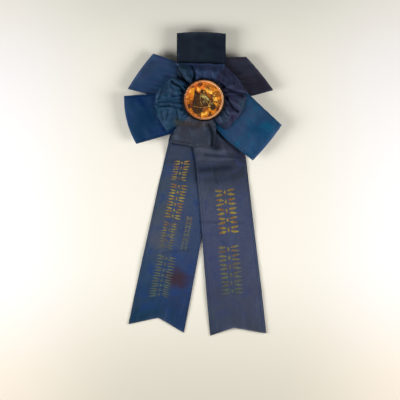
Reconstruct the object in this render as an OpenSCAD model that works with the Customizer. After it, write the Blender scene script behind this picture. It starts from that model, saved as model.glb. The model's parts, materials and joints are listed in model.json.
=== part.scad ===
// Rosette award ribbon: five outer loops and six gathered inner loops of satin ribbon on a card,
// a picture button, two swallow-tailed streamers and a bar pin on the back.
// It lies face up. +Z is out of its face, +Y is up the rosette and z = 0 is the table.

/* [Ribbon] */
// Width of the streamers where they leave the rosette
ribbon_w = 37; // [36:0.5:38]
// Width of the streamers at their ends, where the ribbon has spread
end_w = 40.8; // [38:0.2:42]
// Thickness of one layer of ribbon
ply = 0.3; // [0.2:0.05:0.35]
// Height of a flattened outer loop
loop_h = 2.2; // [1.8:0.1:2.2]
// Height of a gathered inner loop at its fold
puff_h = 5.2; // [4:0.2:5.4]
// Depth of the swallow-tail notch of the left streamer
left_notch = 8; // [6:0.5:9]
// Depth of the swallow-tail notch of the right streamer
right_notch = 5.2; // [4:0.2:7]
// Thickness of the stamped foil
foil_t = 0.06; // [0.04:0.01:0.1]

/* [Button] */
// Radius of the button's dark rim
rim_r = 15.5; // [15.2:0.1:15.8]
// Radius of the picture under the lens
face_r = 14.2; // [14:0.1:14.4]
// Thickness of the sheet metal of the rim and the cup
sheet_t = 0.5; // [0.4:0.05:0.6]
// Height of the clear dome above its edge
dome_h = 2.4; // [1.8:0.2:3]
// Height of the raised horse head
relief_t = 0.4; // [0.3:0.05:0.5]

/* [Back] */
// Radius of the card at the back
back_card_r = 24; // [22:0.5:25]
// Radius of the card that the loops are gathered on
base_card_r = 16; // [15:0.5:18]
// Thickness of each card
card_t = 0.8; // [0.6:0.1:0.8]

/* [Bar pin] */
// Length of the pin's plate
plate_l = 33; // [33:0.5:36]
// Width of the pin's plate
plate_w = 5; // [4.8:0.1:6]
// Diameter of the pin's wire
wire_d = 0.9; // [0.7:0.05:1]
// Distance of the pin above the middle of the card
pin_up = 11; // [10:0.5:12]

/* [Hidden] */
$fn = 48;

// Where the middle of the button is, so that the origin is under the middle of the whole ribbon
button_x = 0.7;
button_y = 61.4;

// Levels of the stack, from the table up
slack = 0.1;                              // free space between two pieces of the stack
axis_z = 2;                               // the pin's wire, its hinge and its catch
plate_z = 4.4;
plate_t = 0.6;
back_card_z = plate_z + plate_t;
left_head_z = back_card_z + card_t + slack;
tail_step = 0.5;                          // the right streamer lies this much above the left
right_head_z = left_head_z + tail_step;
base_card_z = right_head_z + ply + slack;
low_loop_z = base_card_z + card_t + slack;
high_loop_z = low_loop_z + loop_h + 0.3;
inner_loop_z = high_loop_z + loop_h + 0.3;
cup_z = 17.4;
foil_disc_z = cup_z + sheet_t;
foil_disc_t = 0.3;
relief_z = foil_disc_z + foil_disc_t;
rim_h = 2.4;

// Loops
neck_r = 7;                               // the loops stop here, round the fastener
neck_w = 6;
neck_t = 1;
neck_l = 3;                               // length of the neck where the two plies are sewn together
flare_u = 19;                             // where an outer loop reaches its full height
fold_clear = 3;
far = 80;                                 // larger than any loop

// The two fold corners and the two shoulders of each outer loop, from the middle of the button
top_loop = [[-19.7, 48.7], [15.9, 48.3], [15.9, 26], [-19.7, 26]];
upper_right_loop = [[30.5, 31.8], [50.4, 7.5], [34.1, 3.1], [14, 31.4]];
lower_right_loop = [[56.6, -18.1], [35.5, -43.8], [19.9, -31.6], [34.1, 3.1]];
lower_left_loop = [[-49.1, -31.8], [-58, 3.1], [-37.6, 4.5], [-26.1, -25.2]];
upper_left_loop = [[-55.3, 8.4], [-36.7, 34.1], [-20.4, 28.3], [-37.6, 3.6]];

// Streamers: both bend up from the table on the line y = bend_y
bend_y = -46;
bend_gap = 0.3;                           // from that line to the lower piece
head_gap = 1;                             // from that line to the piece above it
head_top_y = -4;                          // where the heads stop, under the cards
slope_top_y = -25;
slope_foot_y = -42;
left_mid = [-10.6, bend_y];               // middle of each streamer on the bend line
right_mid = [12.6, bend_y];
left_lean = -11.4;
right_lean = 5.7;
left_l = 122.8;
right_l = 125.4;
left_cut = 0.9;                           // how far the cut end is askew
right_cut = -1.2;

// Fastener of the button: a strip whose two legs go through the cards and bend outwards behind them
prong_x = 1.2;
prong_w = 3;
prong_t = 0.4;
prong_reach = 8;

// Staple through the streamers' heads
staple_y = -9;
staple_half = 5;
staple_r = 0.25;

// Gathering threads
thread_r = 0.25;
thread_ring_r = 5.6;

// Bar pin, measured along its plate from the middle
hinge_u = -14;
catch_u = 13;
rivet_u = 6;
hole_slack = 0.05;
hinge_pin_r = 0.45;
ear_t = 0.6;
eye_w = 1.8;
eye_r = 1.2;
lug_r = axis_z;
catch_l = 3;
shell_r = 1.65;                           // inside of the catch
shell_open = [200, 325];                  // the sector of the catch that is open
roller_r = 1.55;
roller_bore_r = 0.8;
tab_heading = 215;
tab_l = 2.3;
tab_t = 0.6;
rivet_r = 0.75;
rivet_head_r = 1.4;
rivet_head_t = 0.35;
point_l = 4;                              // the ground point of the wire
root_l = 2;                               // the wire is thicker where it leaves the eye
root_r = wire_d / 2 + 0.2;

// ---------- shared geometry ----------

module at_button() { translate([button_x, button_y, 0]) children(); }

function unit(v) = v / norm(v);
function turned(v) = [-v[1], v[0]];
function heading(v) = atan2(v[1], v[0]);

// Outward normal of the fold between the corners a and b
function fold_normal(a, b) = let (n = unit(turned(b - a))) n * sign(n * (a + b));

// A point a little past b on the line from a, so that the outline clears the round fold
function past(a, b) = b + unit(b - a) * fold_clear;

// Outline of a loop seen from the front: past the fold, shoulders and the gathered neck
function loop_outline(c) =
    let (way = unit(c[2] + c[3]), neck = way * neck_r, half = turned(way) * neck_w / 2)
    [past(c[3], c[0]), past(c[2], c[1]), c[2], neck - half, neck + half, c[3]];

// Side view of a loop: u is outwards and the second axis is up
module loop_side(reach, neck, bottom, height) {
    end = reach - height / 2;
    polygon([[neck, bottom], [end, bottom], [end, bottom + height],
             [flare_u, bottom + height], [neck, bottom + neck_t]]);
    translate([end, bottom + height / 2]) circle(d = height);
}

// One outer loop: its side view drawn out across the ribbon and cut to its outline
module outer_loop(c, bottom) {
    n = fold_normal(c[0], c[1]);
    reach = n * (c[0] + c[1]) / 2;
    at_button() intersection() {
        rotate([90, 0, heading(n)]) linear_extrude(height = 2 * far, center = true) difference() {
            loop_side(reach, neck_r / 2, bottom, loop_h);
            loop_side(reach - ply, neck_r + neck_l, bottom + ply, loop_h - 2 * ply);
        }
        translate([0, 0, bottom - 1]) linear_extrude(height = loop_h + 2) polygon(loop_outline(c));
    }
}

// Fold corners and shoulders of an inner loop that fills the sector between two headings
function sector_loop(reach, from, to) =
    let (mid = (from + to) / 2, out = [cos(mid), sin(mid)], side = turned(out),
         half = reach * tan((to - from) / 2) - 0.5, waist = 0.7 * reach,
         waist_half = waist * tan((to - from) / 2) - 0.5)
    [out * reach + side * half, out * reach - side * half,
     out * waist - side * waist_half, out * waist + side * waist_half];

module inner_loop(reach, from, to) {
    c = sector_loop(reach, from, to);
    n = fold_normal(c[0], c[1]);
    at_button() intersection() {
        rotate([90, 0, heading(n)]) linear_extrude(height = 2 * far, center = true) difference() {
            puff_side(neck_r / 2, reach, 0);
            puff_side(neck_r + neck_l, reach, ply);
        }
        translate([0, 0, inner_loop_z - 1]) linear_extrude(height = puff_h + 2)
            polygon(loop_outline(c));
    }
}

// Side view of a gathered loop: flat below, rising to its fold above; inset is the ribbon's ply
module puff_side(start, reach, inset) {
    fold_r = puff_h / 2;
    low = inner_loop_z + inset;
    high = inner_loop_z + puff_h - inset;
    end = reach - fold_r;
    rise = inner_loop_z + neck_t - inset + (inset > 0 ? 0.9 : 0);
    polygon([[start, low], [end, low], [end, high], [0.75 * end, high - 0.3], [start, rise]]);
    translate([end, inner_loop_z + fold_r]) circle(r = fold_r - inset);
}

// ---------- button ----------

module button_lens() {
    edge_t = 0.9;
    sphere_r = (face_r * face_r + dome_h * dome_h) / (2 * dome_h);
    color([0.95, 0.8, 0.5, 0.4]) at_button() translate([0, 0, relief_z]) difference() {
        union() {
            cylinder(r = face_r, h = edge_t, $fn = 96);
            translate([0, 0, edge_t]) intersection() {
                translate([0, 0, dome_h - sphere_r]) sphere(r = sphere_r, $fn = 300);
                cylinder(r = face_r, h = dome_h + 1, $fn = 96);
            }
        }
        translate([0, 0, -1]) cylinder(r = face_r - 1.5, h = 1 + relief_t + slack, $fn = 96);
    }
}

module button_rim() {
    color([0.12, 0.06, 0.04]) at_button() translate([0, 0, cup_z]) rotate_extrude($fn = 96) {
        translate([face_r + sheet_t + slack, 0]) square([rim_r - face_r - sheet_t - slack, rim_h]);
        translate([rim_r - 0.3, rim_h / 2]) circle(r = 0.3, $fn = 24);
    }
}

module horse_head() {
    // The head looks to the right: ears, brow, muzzle, jaw, throat and the cut of the neck
    outline = [[-5.2, 7.4], [-3.9, 4.8], [-2.6, 5.2], [-1.2, 8], [-0.6, 4.9], [1.6, 3.4],
               [4.2, 0.6], [7.2, -2.6], [8.6, -4.6], [7.9, -6.6], [5.9, -7.3], [3.9, -5.6],
               [1.2, -4.4], [-0.6, -5.2], [-2.2, -9.4], [-5.6, -9.9], [-8.3, -7.2],
               [-7.8, -2.4], [-6.4, 2.2]];
    color([0.22, 0.11, 0.05]) at_button() translate([0, 0, relief_z])
        linear_extrude(height = relief_t) polygon(outline);
}

module button_foil_disc() {
    color([0.93, 0.6, 0.12]) at_button() translate([0, 0, foil_disc_z])
        cylinder(r = face_r, h = foil_disc_t, $fn = 96);
}

module button_cup() {
    wall_h = rim_h - sheet_t - 0.4;
    color([0.7, 0.62, 0.45]) at_button() translate([0, 0, cup_z]) difference() {
        union() {
            cylinder(r = face_r + sheet_t, h = sheet_t, $fn = 96);
            translate([0, 0, sheet_t]) difference() {
                cylinder(r = face_r + sheet_t, h = wall_h, $fn = 96);
                translate([0, 0, -1]) cylinder(r = face_r + slack / 2, h = wall_h + 2, $fn = 96);
            }
        }
        for (s = [-1, 1]) translate([s * prong_x, 0, 0])
            cube([prong_t + slack, prong_w + slack, 4 * sheet_t], center = true);
    }
}

module prong_fastener() {
    leg_foot = back_card_z - slack / 2 - prong_t;
    color([0.72, 0.6, 0.33]) at_button() {
        for (s = [-1, 1]) {
            translate([s * prong_x - prong_t / 2, -prong_w / 2, leg_foot])
                cube([prong_t, prong_w, cup_z + sheet_t - leg_foot]);
            translate([s > 0 ? prong_x - prong_t / 2 : -prong_reach, -prong_w / 2, leg_foot])
                cube([prong_reach - prong_x + prong_t / 2, prong_w, prong_t]);
        }
        translate([-prong_x - prong_t / 2, -prong_w / 2, cup_z - slack - prong_t])
            cube([2 * prong_x + prong_t, prong_w, prong_t]);
    }
}

// ---------- loops ----------

module outer_loop_top() { color([0.07, 0.08, 0.14]) outer_loop(top_loop, high_loop_z); }
module outer_loop_upper_right() { color([0.13, 0.11, 0.17]) outer_loop(upper_right_loop, low_loop_z); }
module outer_loop_lower_right() { color([0.07, 0.2, 0.34]) outer_loop(lower_right_loop, high_loop_z); }
module outer_loop_lower_left() { color([0.06, 0.15, 0.3]) outer_loop(lower_left_loop, high_loop_z); }
module outer_loop_upper_left() { color([0.09, 0.16, 0.34]) outer_loop(upper_left_loop, low_loop_z); }

module inner_loop_top() { color([0.1, 0.13, 0.22]) inner_loop(27, 63, 118); }
module inner_loop_upper_left() { color([0.09, 0.18, 0.3]) inner_loop(34, 142, 187); }
module inner_loop_lower_left() { color([0.09, 0.18, 0.33]) inner_loop(33, 191, 231); }
module inner_loop_bottom() { color([0.15, 0.16, 0.24]) inner_loop(33, 233, 283); }
module inner_loop_right() { color([0.11, 0.15, 0.3]) inner_loop(31, 308, 366); }
module inner_loop_upper_right() { color([0.15, 0.13, 0.22]) inner_loop(28, 368, 421); }

module gather_thread(z) {
    color([0.1, 0.12, 0.25]) at_button() translate([0, 0, z])
        rotate_extrude() translate([thread_ring_r, 0]) circle(r = thread_r, $fn = 24);
}
module outer_gather_thread() { gather_thread(high_loop_z); }
module inner_gather_thread() { gather_thread(inner_loop_z + neck_t / 2); }

// ---------- cards ----------

module card_disc(r, z) {
    slot = [2 * prong_x + prong_t + 4 * slack, prong_w + 4 * slack];
    at_button() translate([0, 0, z]) difference() {
        cylinder(r = r, h = card_t, $fn = 96);
        cube([slot[0], slot[1], 3 * card_t], center = true);
        children();
    }
}

module staple_holes() {
    for (s = [-1, 1]) translate([s * staple_half, staple_y, -far])
        cylinder(r = staple_r + slack, h = 2 * far);
}

module base_card() { color([0.8, 0.76, 0.66]) card_disc(base_card_r, base_card_z) staple_holes(); }

module back_card() {
    color([0.86, 0.82, 0.72]) card_disc(back_card_r, back_card_z)
        for (s = [-1, 1]) translate([s * rivet_u, pin_up, -1])
            cylinder(r = rivet_r + hole_slack, h = card_t + 2);
}

module tail_staple() {
    crown_z = base_card_z + card_t + staple_r;
    color("silver") at_button() translate([0, staple_y, 0]) {
        translate([-staple_half, 0, crown_z]) rotate([0, 90, 0])
            cylinder(r = staple_r, h = 2 * staple_half);
        for (s = [-1, 1]) translate([s * staple_half, 0, left_head_z])
            cylinder(r = staple_r, h = crown_z - left_head_z);
        for (s = [-1, 1]) translate([s * staple_half, 0, crown_z]) sphere(r = staple_r);
    }
}

// ---------- streamers ----------

// A streamer's outline past the bend line: its middle, its lean and its swallow-tailed end
function tail_outline(mid, lean, length, notch, cut) =
    let (way = [sin(lean), -cos(lean)], half = ribbon_w / 2 / cos(lean),
         side = [cos(lean), sin(lean)], end = mid + way * length)
    [mid + [half, 0], mid - [half, 0],
     end - side * end_w / 2 + way * cut,
     end - way * notch,
     end + side * end_w / 2 - way * cut];

left_outline = tail_outline(left_mid, left_lean, left_l, left_notch, left_cut);
right_outline = tail_outline(right_mid, right_lean, right_l, right_notch, right_cut);

// The free length of a streamer, which starts a little past the bend line
module tail_strip(outline, z) {
    at_button() translate([0, 0, z]) linear_extrude(height = ply) difference() {
        polygon(outline);
        translate([-far, bend_y - bend_gap]) square([2 * far, far]);
    }
}

// The sewn end of a streamer: level under the card, then sloping down to the table
module tail_head(mid, lean, top_z, foot_z, gap, top_half) {
    half = ribbon_w / 2 / cos(lean);
    lift = [sin(lean), -cos(lean)] * 16 / cos(lean);
    neck_x = mid[0] * 0.35;
    below = [[head_top_y, top_z], [slope_top_y, top_z], [slope_foot_y, foot_z], [bend_y + gap, foot_z]];
    above = [for (i = [3 : -1 : 0]) below[i] + [0, ply]];
    at_button() difference() {
        intersection() {
            rotate([90, 0, 90]) linear_extrude(height = 2 * far, center = true)
                polygon(concat(below, above));
            linear_extrude(height = far) polygon([
                mid + [half, 0], mid - [half, 0], mid - lift - [half, 0],
                [neck_x - top_half, head_top_y], [neck_x + top_half, head_top_y],
                mid - lift + [half, 0]]);
        }
        staple_holes();
    }
}

module left_tail_head() {
    color([0.11, 0.14, 0.27]) tail_head(left_mid, left_lean, left_head_z, 0, bend_gap, 11);
}
module right_tail_head() {
    color([0.13, 0.14, 0.26]) tail_head(right_mid, right_lean, right_head_z, tail_step, head_gap, 12);
}
module left_tail() { color([0.08, 0.13, 0.3]) tail_strip(left_outline, 0); }
module right_tail() { color([0.12, 0.14, 0.27]) tail_strip(right_outline, tail_step); }

// Foil ornament: a column of sprigs, each a lozenge between two pairs of slanting leaves
module sprig(w, l) {
    polygon([[0, l * 0.3], [w * 0.06, 0], [0, -l * 0.3], [-w * 0.06, 0]]);
    for (s = [-1, 1]) for (t = [-1, 1])
        polygon([[s * w * 0.09, t * l * 0.17], [s * w * 0.3, t * l * 0.13],
                 [s * w * 0.5, t * l * 0.3], [s * w * 0.27, t * l * 0.36]]);
}

// Sprigs from one distance along a streamer to another, off to one side of its middle
module sprig_column(mid, lean, from, to, shift, w, pitch) {
    count = floor((to - from) / pitch);
    translate(mid) rotate(lean) for (i = [0 : count - 1])
        translate([shift, -from - (i + 0.5) * pitch]) sprig(w, pitch);
}

module stamping(z) {
    color([0.5, 0.42, 0.18]) at_button() translate([0, 0, z]) linear_extrude(height = foil_t) children();
}

module left_tail_stamping() {
    stamping(ply) {
        sprig_column(left_mid, left_lean, 1.5, 9.9, -5.8, 12.6, 4.15);
        sprig_column(left_mid, left_lean, 15.7, 42.4, -4.3, 13, 4.43);
        sprig_column(left_mid, left_lean, 44.9, 60.8, -4.9, 11, 3.95);
        sprig_column(left_mid, left_lean, 67.3, 102.3, -2.8, 14.4, 4.36);
        sprig_column(left_mid, left_lean, 37.8, 63.3, 8.1, 4.8, 3.1);
    }
}

module right_tail_stamping() {
    stamping(tail_step + ply) {
        sprig_column(right_mid, right_lean, 18, 52.1, 0.6, 15.5, 6.8);
        sprig_column(right_mid, right_lean, 59.5, 97.6, -1, 16, 6.33);
    }
}

// ---------- bar pin ----------

module at_pin() { translate([button_x, button_y + pin_up, 0]) children(); }

module pin_plate() {
    lug_y = eye_w / 2 + 2 * slack;
    color("gainsboro") at_pin() {
        difference() {
            translate([0, 0, plate_z]) linear_extrude(height = plate_t) {
                square([plate_l - plate_w, plate_w], center = true);
                for (s = [-1, 1]) translate([s * (plate_l - plate_w) / 2, 0]) circle(d = plate_w);
            }
            for (s = [-1, 1]) translate([s * rivet_u, 0, plate_z - 1])
                cylinder(r = rivet_r + hole_slack, h = plate_t + 2);
        }
        for (s = [-1, 1]) translate([hinge_u, s * (lug_y + ear_t / 2), 0]) rotate([90, 0, 0])
            linear_extrude(height = ear_t, center = true) difference() {
                union() {
                    translate([0, axis_z]) circle(r = lug_r);
                    translate([-lug_r, axis_z]) square([2 * lug_r, plate_z + plate_t / 2 - axis_z]);
                }
                translate([0, axis_z]) circle(r = hinge_pin_r + hole_slack);
            }
    }
}

module pin_rivets() {
    foot = plate_z - rivet_head_t;
    top = back_card_z + card_t;
    color("silver") at_pin() for (s = [-1, 1]) translate([s * rivet_u, 0, 0]) {
        translate([0, 0, foot]) cylinder(r = rivet_r, h = top + rivet_head_t - foot);
        translate([0, 0, foot]) cylinder(r = rivet_head_r, h = rivet_head_t);
        translate([0, 0, top]) cylinder(r = rivet_head_r, h = rivet_head_t);
    }
}

module hinge_rivet() {
    half = eye_w / 2 + 2 * slack + ear_t;
    color("silver") at_pin() translate([hinge_u, 0, axis_z]) rotate([90, 0, 0]) {
        cylinder(r = hinge_pin_r, h = 2 * half, center = true);
        for (s = [-1, 1]) translate([0, 0, s * (half + rivet_head_t / 2)])
            cylinder(r = 2 * hinge_pin_r, h = rivet_head_t, center = true);
    }
}

module pin_stem() {
    tip_u = catch_u + catch_l / 2 + 0.5;
    root_end = hinge_u + eye_r + root_l;
    color("silver") at_pin() translate([0, 0, axis_z]) {
        difference() {
            union() {
                translate([hinge_u, 0, 0]) rotate([90, 0, 0]) cylinder(r = eye_r, h = eye_w, center = true);
                translate([hinge_u + eye_r / 2, 0, 0]) rotate([0, 90, 0])
                    cylinder(r = root_r, h = root_end - hinge_u - eye_r / 2);
                translate([root_end, 0, 0]) rotate([0, 90, 0])
                    cylinder(d = wire_d, h = tip_u - point_l - root_end);
            }
            translate([hinge_u, 0, 0]) rotate([90, 0, 0])
                cylinder(r = hinge_pin_r + hole_slack, h = 2 * eye_w, center = true);
        }
        translate([tip_u - point_l, 0, 0]) rotate([0, 90, 0]) cylinder(d1 = wire_d, d2 = 0.1, h = point_l);
    }
}

// A ring open over one sector, seen along the wire
module open_ring(outer_r, inner_r, open_from, open_to) {
    difference() {
        circle(r = outer_r);
        circle(r = inner_r);
        polygon([[0, 0], for (a = [open_from : (open_to - open_from) / 4 : open_to + 0.1])
            2 * outer_r * [cos(a), sin(a)]]);
    }
}

module along_wire(l) {
    at_pin() translate([catch_u, 0, axis_z]) rotate([90, 0, 90]) linear_extrude(height = l, center = true)
        children();
}

module pin_catch() {
    color("gainsboro") along_wire(catch_l) {
        open_ring(lug_r, shell_r, shell_open[0], shell_open[1]);
        translate([-lug_r * 0.6, shell_r]) square([lug_r * 1.2, plate_z - axis_z - shell_r]);
    }
}

module catch_roller() {
    color("silver") along_wire(catch_l - 2 * slack) difference() {
        union() {
            circle(r = roller_r);
            rotate(tab_heading) translate([0, -tab_t / 2]) square([tab_l, tab_t]);
        }
        circle(r = roller_bore_r);
        translate([-roller_bore_r, -2 * lug_r]) square([2 * roller_bore_r, 2 * lug_r]);
    }
}

// ---------- the nodes ----------

button_lens();
button_rim();
horse_head();
button_foil_disc();
button_cup();
prong_fastener();
outer_loop_top();
outer_loop_upper_right();
outer_loop_lower_right();
outer_loop_lower_left();
outer_loop_upper_left();
inner_loop_top();
inner_loop_upper_right();
inner_loop_right();
inner_loop_bottom();
inner_loop_lower_left();
inner_loop_upper_left();
outer_gather_thread();
inner_gather_thread();
base_card();
back_card();
tail_staple();
left_tail_head();
right_tail_head();
left_tail();
right_tail();
left_tail_stamping();
right_tail_stamping();
pin_plate();
pin_rivets();
hinge_rivet();
pin_stem();
pin_catch();
catch_roller();
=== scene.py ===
"""Looks for the award ribbon: satin loops and streamers, picture button, cards and bar pin.

Lengths are in millimetres from the middle of the button, and heights from the table, until a mesh is made.
"""

import json
import math

import bpy
import numpy as np
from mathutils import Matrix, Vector
from mathutils.geometry import delaunay_2d_cdt


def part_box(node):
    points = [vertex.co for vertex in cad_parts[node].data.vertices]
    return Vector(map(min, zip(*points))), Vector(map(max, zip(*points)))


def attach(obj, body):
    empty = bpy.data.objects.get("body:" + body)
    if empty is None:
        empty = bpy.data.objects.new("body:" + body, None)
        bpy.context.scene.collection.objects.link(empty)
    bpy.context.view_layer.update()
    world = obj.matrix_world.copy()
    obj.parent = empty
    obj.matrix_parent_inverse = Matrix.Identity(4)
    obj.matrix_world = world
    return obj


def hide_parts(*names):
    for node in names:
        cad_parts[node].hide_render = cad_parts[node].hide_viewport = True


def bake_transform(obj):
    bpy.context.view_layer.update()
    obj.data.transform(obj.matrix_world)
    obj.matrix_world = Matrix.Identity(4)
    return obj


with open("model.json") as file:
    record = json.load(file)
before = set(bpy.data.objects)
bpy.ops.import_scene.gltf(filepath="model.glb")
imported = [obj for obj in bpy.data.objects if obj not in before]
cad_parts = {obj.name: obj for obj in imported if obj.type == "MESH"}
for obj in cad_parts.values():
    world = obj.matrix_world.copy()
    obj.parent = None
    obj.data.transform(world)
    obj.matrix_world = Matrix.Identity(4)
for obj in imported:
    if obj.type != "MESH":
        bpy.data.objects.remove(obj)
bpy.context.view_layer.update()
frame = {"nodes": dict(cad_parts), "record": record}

MM = 0.001
CLOTH = 0.24  # thickness of the ribbon
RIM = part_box("button_rim")
HUB = np.array([(RIM[0].x + RIM[1].x) / 2, (RIM[0].y + RIM[1].y) / 2, 0.0])


def top_of(node):
    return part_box(node)[1].z / MM


def foot_of(node):
    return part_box(node)[0].z / MM


# ---------- small maths ----------


def row(points):
    """Millimetres from the button's middle to metres in the part's frame."""
    return np.asarray(points, float) * MM + HUB


def ease(t):
    t = np.clip(t, 0, 1)
    return t * t * (3 - 2 * t)


def hump(x, width, middle=0.0):
    """A soft bump, 1 high at its middle."""
    return np.exp(-(((x - middle) / width) ** 2))


def hermite(t, a, leave, b, arrive):
    """A smooth curve from a to b as t goes from 0 to 1, with its directions at the two ends."""
    from_a = (2 * t**3 - 3 * t**2 + 1) * a + (t**3 - 2 * t**2 + t) * leave
    return from_a + (3 * t**2 - 2 * t**3) * b + (t**3 - t**2) * arrive


def ripple(seed, size, count=9):
    """A smooth random surface from about -1 to 1, with waves of about that size."""
    rng = np.random.default_rng(seed)
    turn = rng.uniform(0, 2 * np.pi, count)
    pace = 2 * np.pi / size * rng.uniform(0.6, 1.5, count)
    phase = rng.uniform(0, 2 * np.pi, count)

    def at(x, y):
        waves = (np.sin(k * (x * np.cos(a) + y * np.sin(a)) + p) for a, k, p in zip(turn, pace, phase))
        return sum(waves) / (1.3 * math.sqrt(count))

    return at


def unit(v):
    v = np.asarray(v, float)
    return v / np.linalg.norm(v)


def from_line(p, line, closed=False):
    """Distance of each point from a line of points."""
    line = np.asarray(line, float)
    a, b = (line, np.roll(line, -1, 0)) if closed else (line[:-1], line[1:])
    ab = b - a
    t = np.clip(((p[:, None] - a) * ab).sum(2) / (ab**2).sum(1), 0, 1)
    return np.linalg.norm(p[:, None] - (a + ab * t[..., None]), axis=2).min(1)


def strokes(plan, lines):
    """How strongly soft strokes of (points, width, strength) mark each place in a grid, from 0 to 1."""
    flat = plan.reshape(-1, 2)
    total = np.zeros(len(flat))
    for points, width, strength in lines:
        total = np.maximum(total, strength * hump(from_line(flat, points), width))
    return total.reshape(plan.shape[:-1])


# ---------- meshes ----------


def new_mesh(name, points, faces, sharp=40, uv=None, values=None):
    """A smooth-shaded piece from points in metres. uv and values have one entry for each point."""
    mesh = bpy.data.meshes.new(name)
    mesh.from_pydata([tuple(p) for p in points], [], [tuple(f) for f in faces])
    mesh.validate()
    mesh.polygons.foreach_set("use_smooth", [True] * len(mesh.polygons))
    if uv is not None:
        layer = mesh.uv_layers.new(name="ribbon")
        index = np.zeros(len(mesh.loops), np.int32)
        mesh.loops.foreach_get("vertex_index", index)
        layer.data.foreach_set("uv", np.asarray(uv, np.float32)[index].ravel())
    for key, value in (values or {}).items():
        layer = mesh.attributes.new(key, "FLOAT", "POINT")
        layer.data.foreach_set("value", np.asarray(value, np.float32).ravel())
    mesh.set_sharp_from_angle(angle=math.radians(sharp))
    mesh.update()
    piece = bpy.data.objects.new(name, mesh)
    bpy.context.scene.collection.objects.link(piece)
    return piece


def cloth(name, middle, uv, values):
    """A closed shell of ribbon round a grid of its middle surface. values go on the points."""
    n, m = middle.shape[:2]
    normal = np.cross(np.gradient(middle, axis=0), np.gradient(middle, axis=1))
    out = normal / np.maximum(np.linalg.norm(normal, axis=2, keepdims=True), 1e-12) * CLOTH / 2
    points = row(np.concatenate([(middle + out).reshape(-1, 3), (middle - out).reshape(-1, 3)]))
    k = np.arange(n * m).reshape(n, m)
    quads = np.stack([k[:-1, :-1], k[:-1, 1:], k[1:, 1:], k[1:, :-1]], -1).reshape(-1, 4)
    rim = np.concatenate([k[0, :], k[1:, -1], k[-1, -2::-1], k[-2:0:-1, 0]])
    after = np.roll(rim, -1)
    wall = np.stack([rim, rim + n * m, after + n * m, after], -1)
    faces = np.concatenate([quads[:, ::-1], quads + n * m, wall])
    both = {key: np.tile(np.broadcast_to(v, (n, m)).reshape(-1), 2) for key, v in values.items()}
    if "shade" in both:  # a crease's painted shade shows only on the side that faces up
        up = out[..., 2].reshape(-1) > 0
        both["shade"] = both["shade"] * np.concatenate([up, ~up])
    return new_mesh(name, points, faces, 50, np.tile(uv.reshape(-1, 2), (2, 1)), both)


def closed(faces, count):
    """Faces of a solid from those of its top: the same, count points later, underneath, and walls between."""
    edges = {(a, b): None for f in faces for a, b in zip(f, [*f[1:], f[0]])}
    under = [tuple(i + count for i in reversed(f)) for f in faces]
    return faces + under + [(a, a + count, b + count, b) for a, b in edges if (b, a) not in edges]


def counterclockwise(outline):
    """The outline, turned round if need be, so that its faces look outwards."""
    after = np.roll(outline, -1, 0)
    area = (outline[:, 0] * after[:, 1] - after[:, 0] * outline[:, 1]).sum()
    return outline[::-1] if area < 0 else outline


def lathe(name, profile, sharp=35, steps=144):
    """A ring or disc of revolution from a closed profile of (radius, height)."""
    turn = np.linspace(0, 2 * np.pi, steps, endpoint=False)
    points, rings = [], []
    for r, z in counterclockwise(np.asarray(profile, float)):
        if r < 1e-6:
            rings.append([len(points)] * steps)
            points.append((0, 0, z))
        else:
            rings.append(list(range(len(points), len(points) + steps)))
            points += [(r * math.cos(a), r * math.sin(a), z) for a in turn]
    faces = []
    for a, b in zip(rings, rings[1:] + rings[:1]):
        for j in range(steps):
            k = (j + 1) % steps
            face = list(dict.fromkeys([a[j], a[k], b[k], b[j]]))
            if len(face) > 2:
                faces.append(face)
    return new_mesh(name, row(points), faces, sharp)


# ---------- materials ----------

FINISH = {}


def rgb(r, g, b):
    """A display colour, 0 to 255, as the linear colour that a shader takes."""
    c = np.array([r, g, b]) / 255
    c = np.where(c <= 0.04045, c / 12.92, ((c + 0.055) / 1.055) ** 2.4)
    return (float(c[0]), float(c[1]), float(c[2]), 1.0)


def lit(colour, share, lift=0.0):
    """A linear colour made paler or deeper."""
    return tuple(min(1.0, share * c + lift) for c in colour[:3]) + (1.0,)


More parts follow.
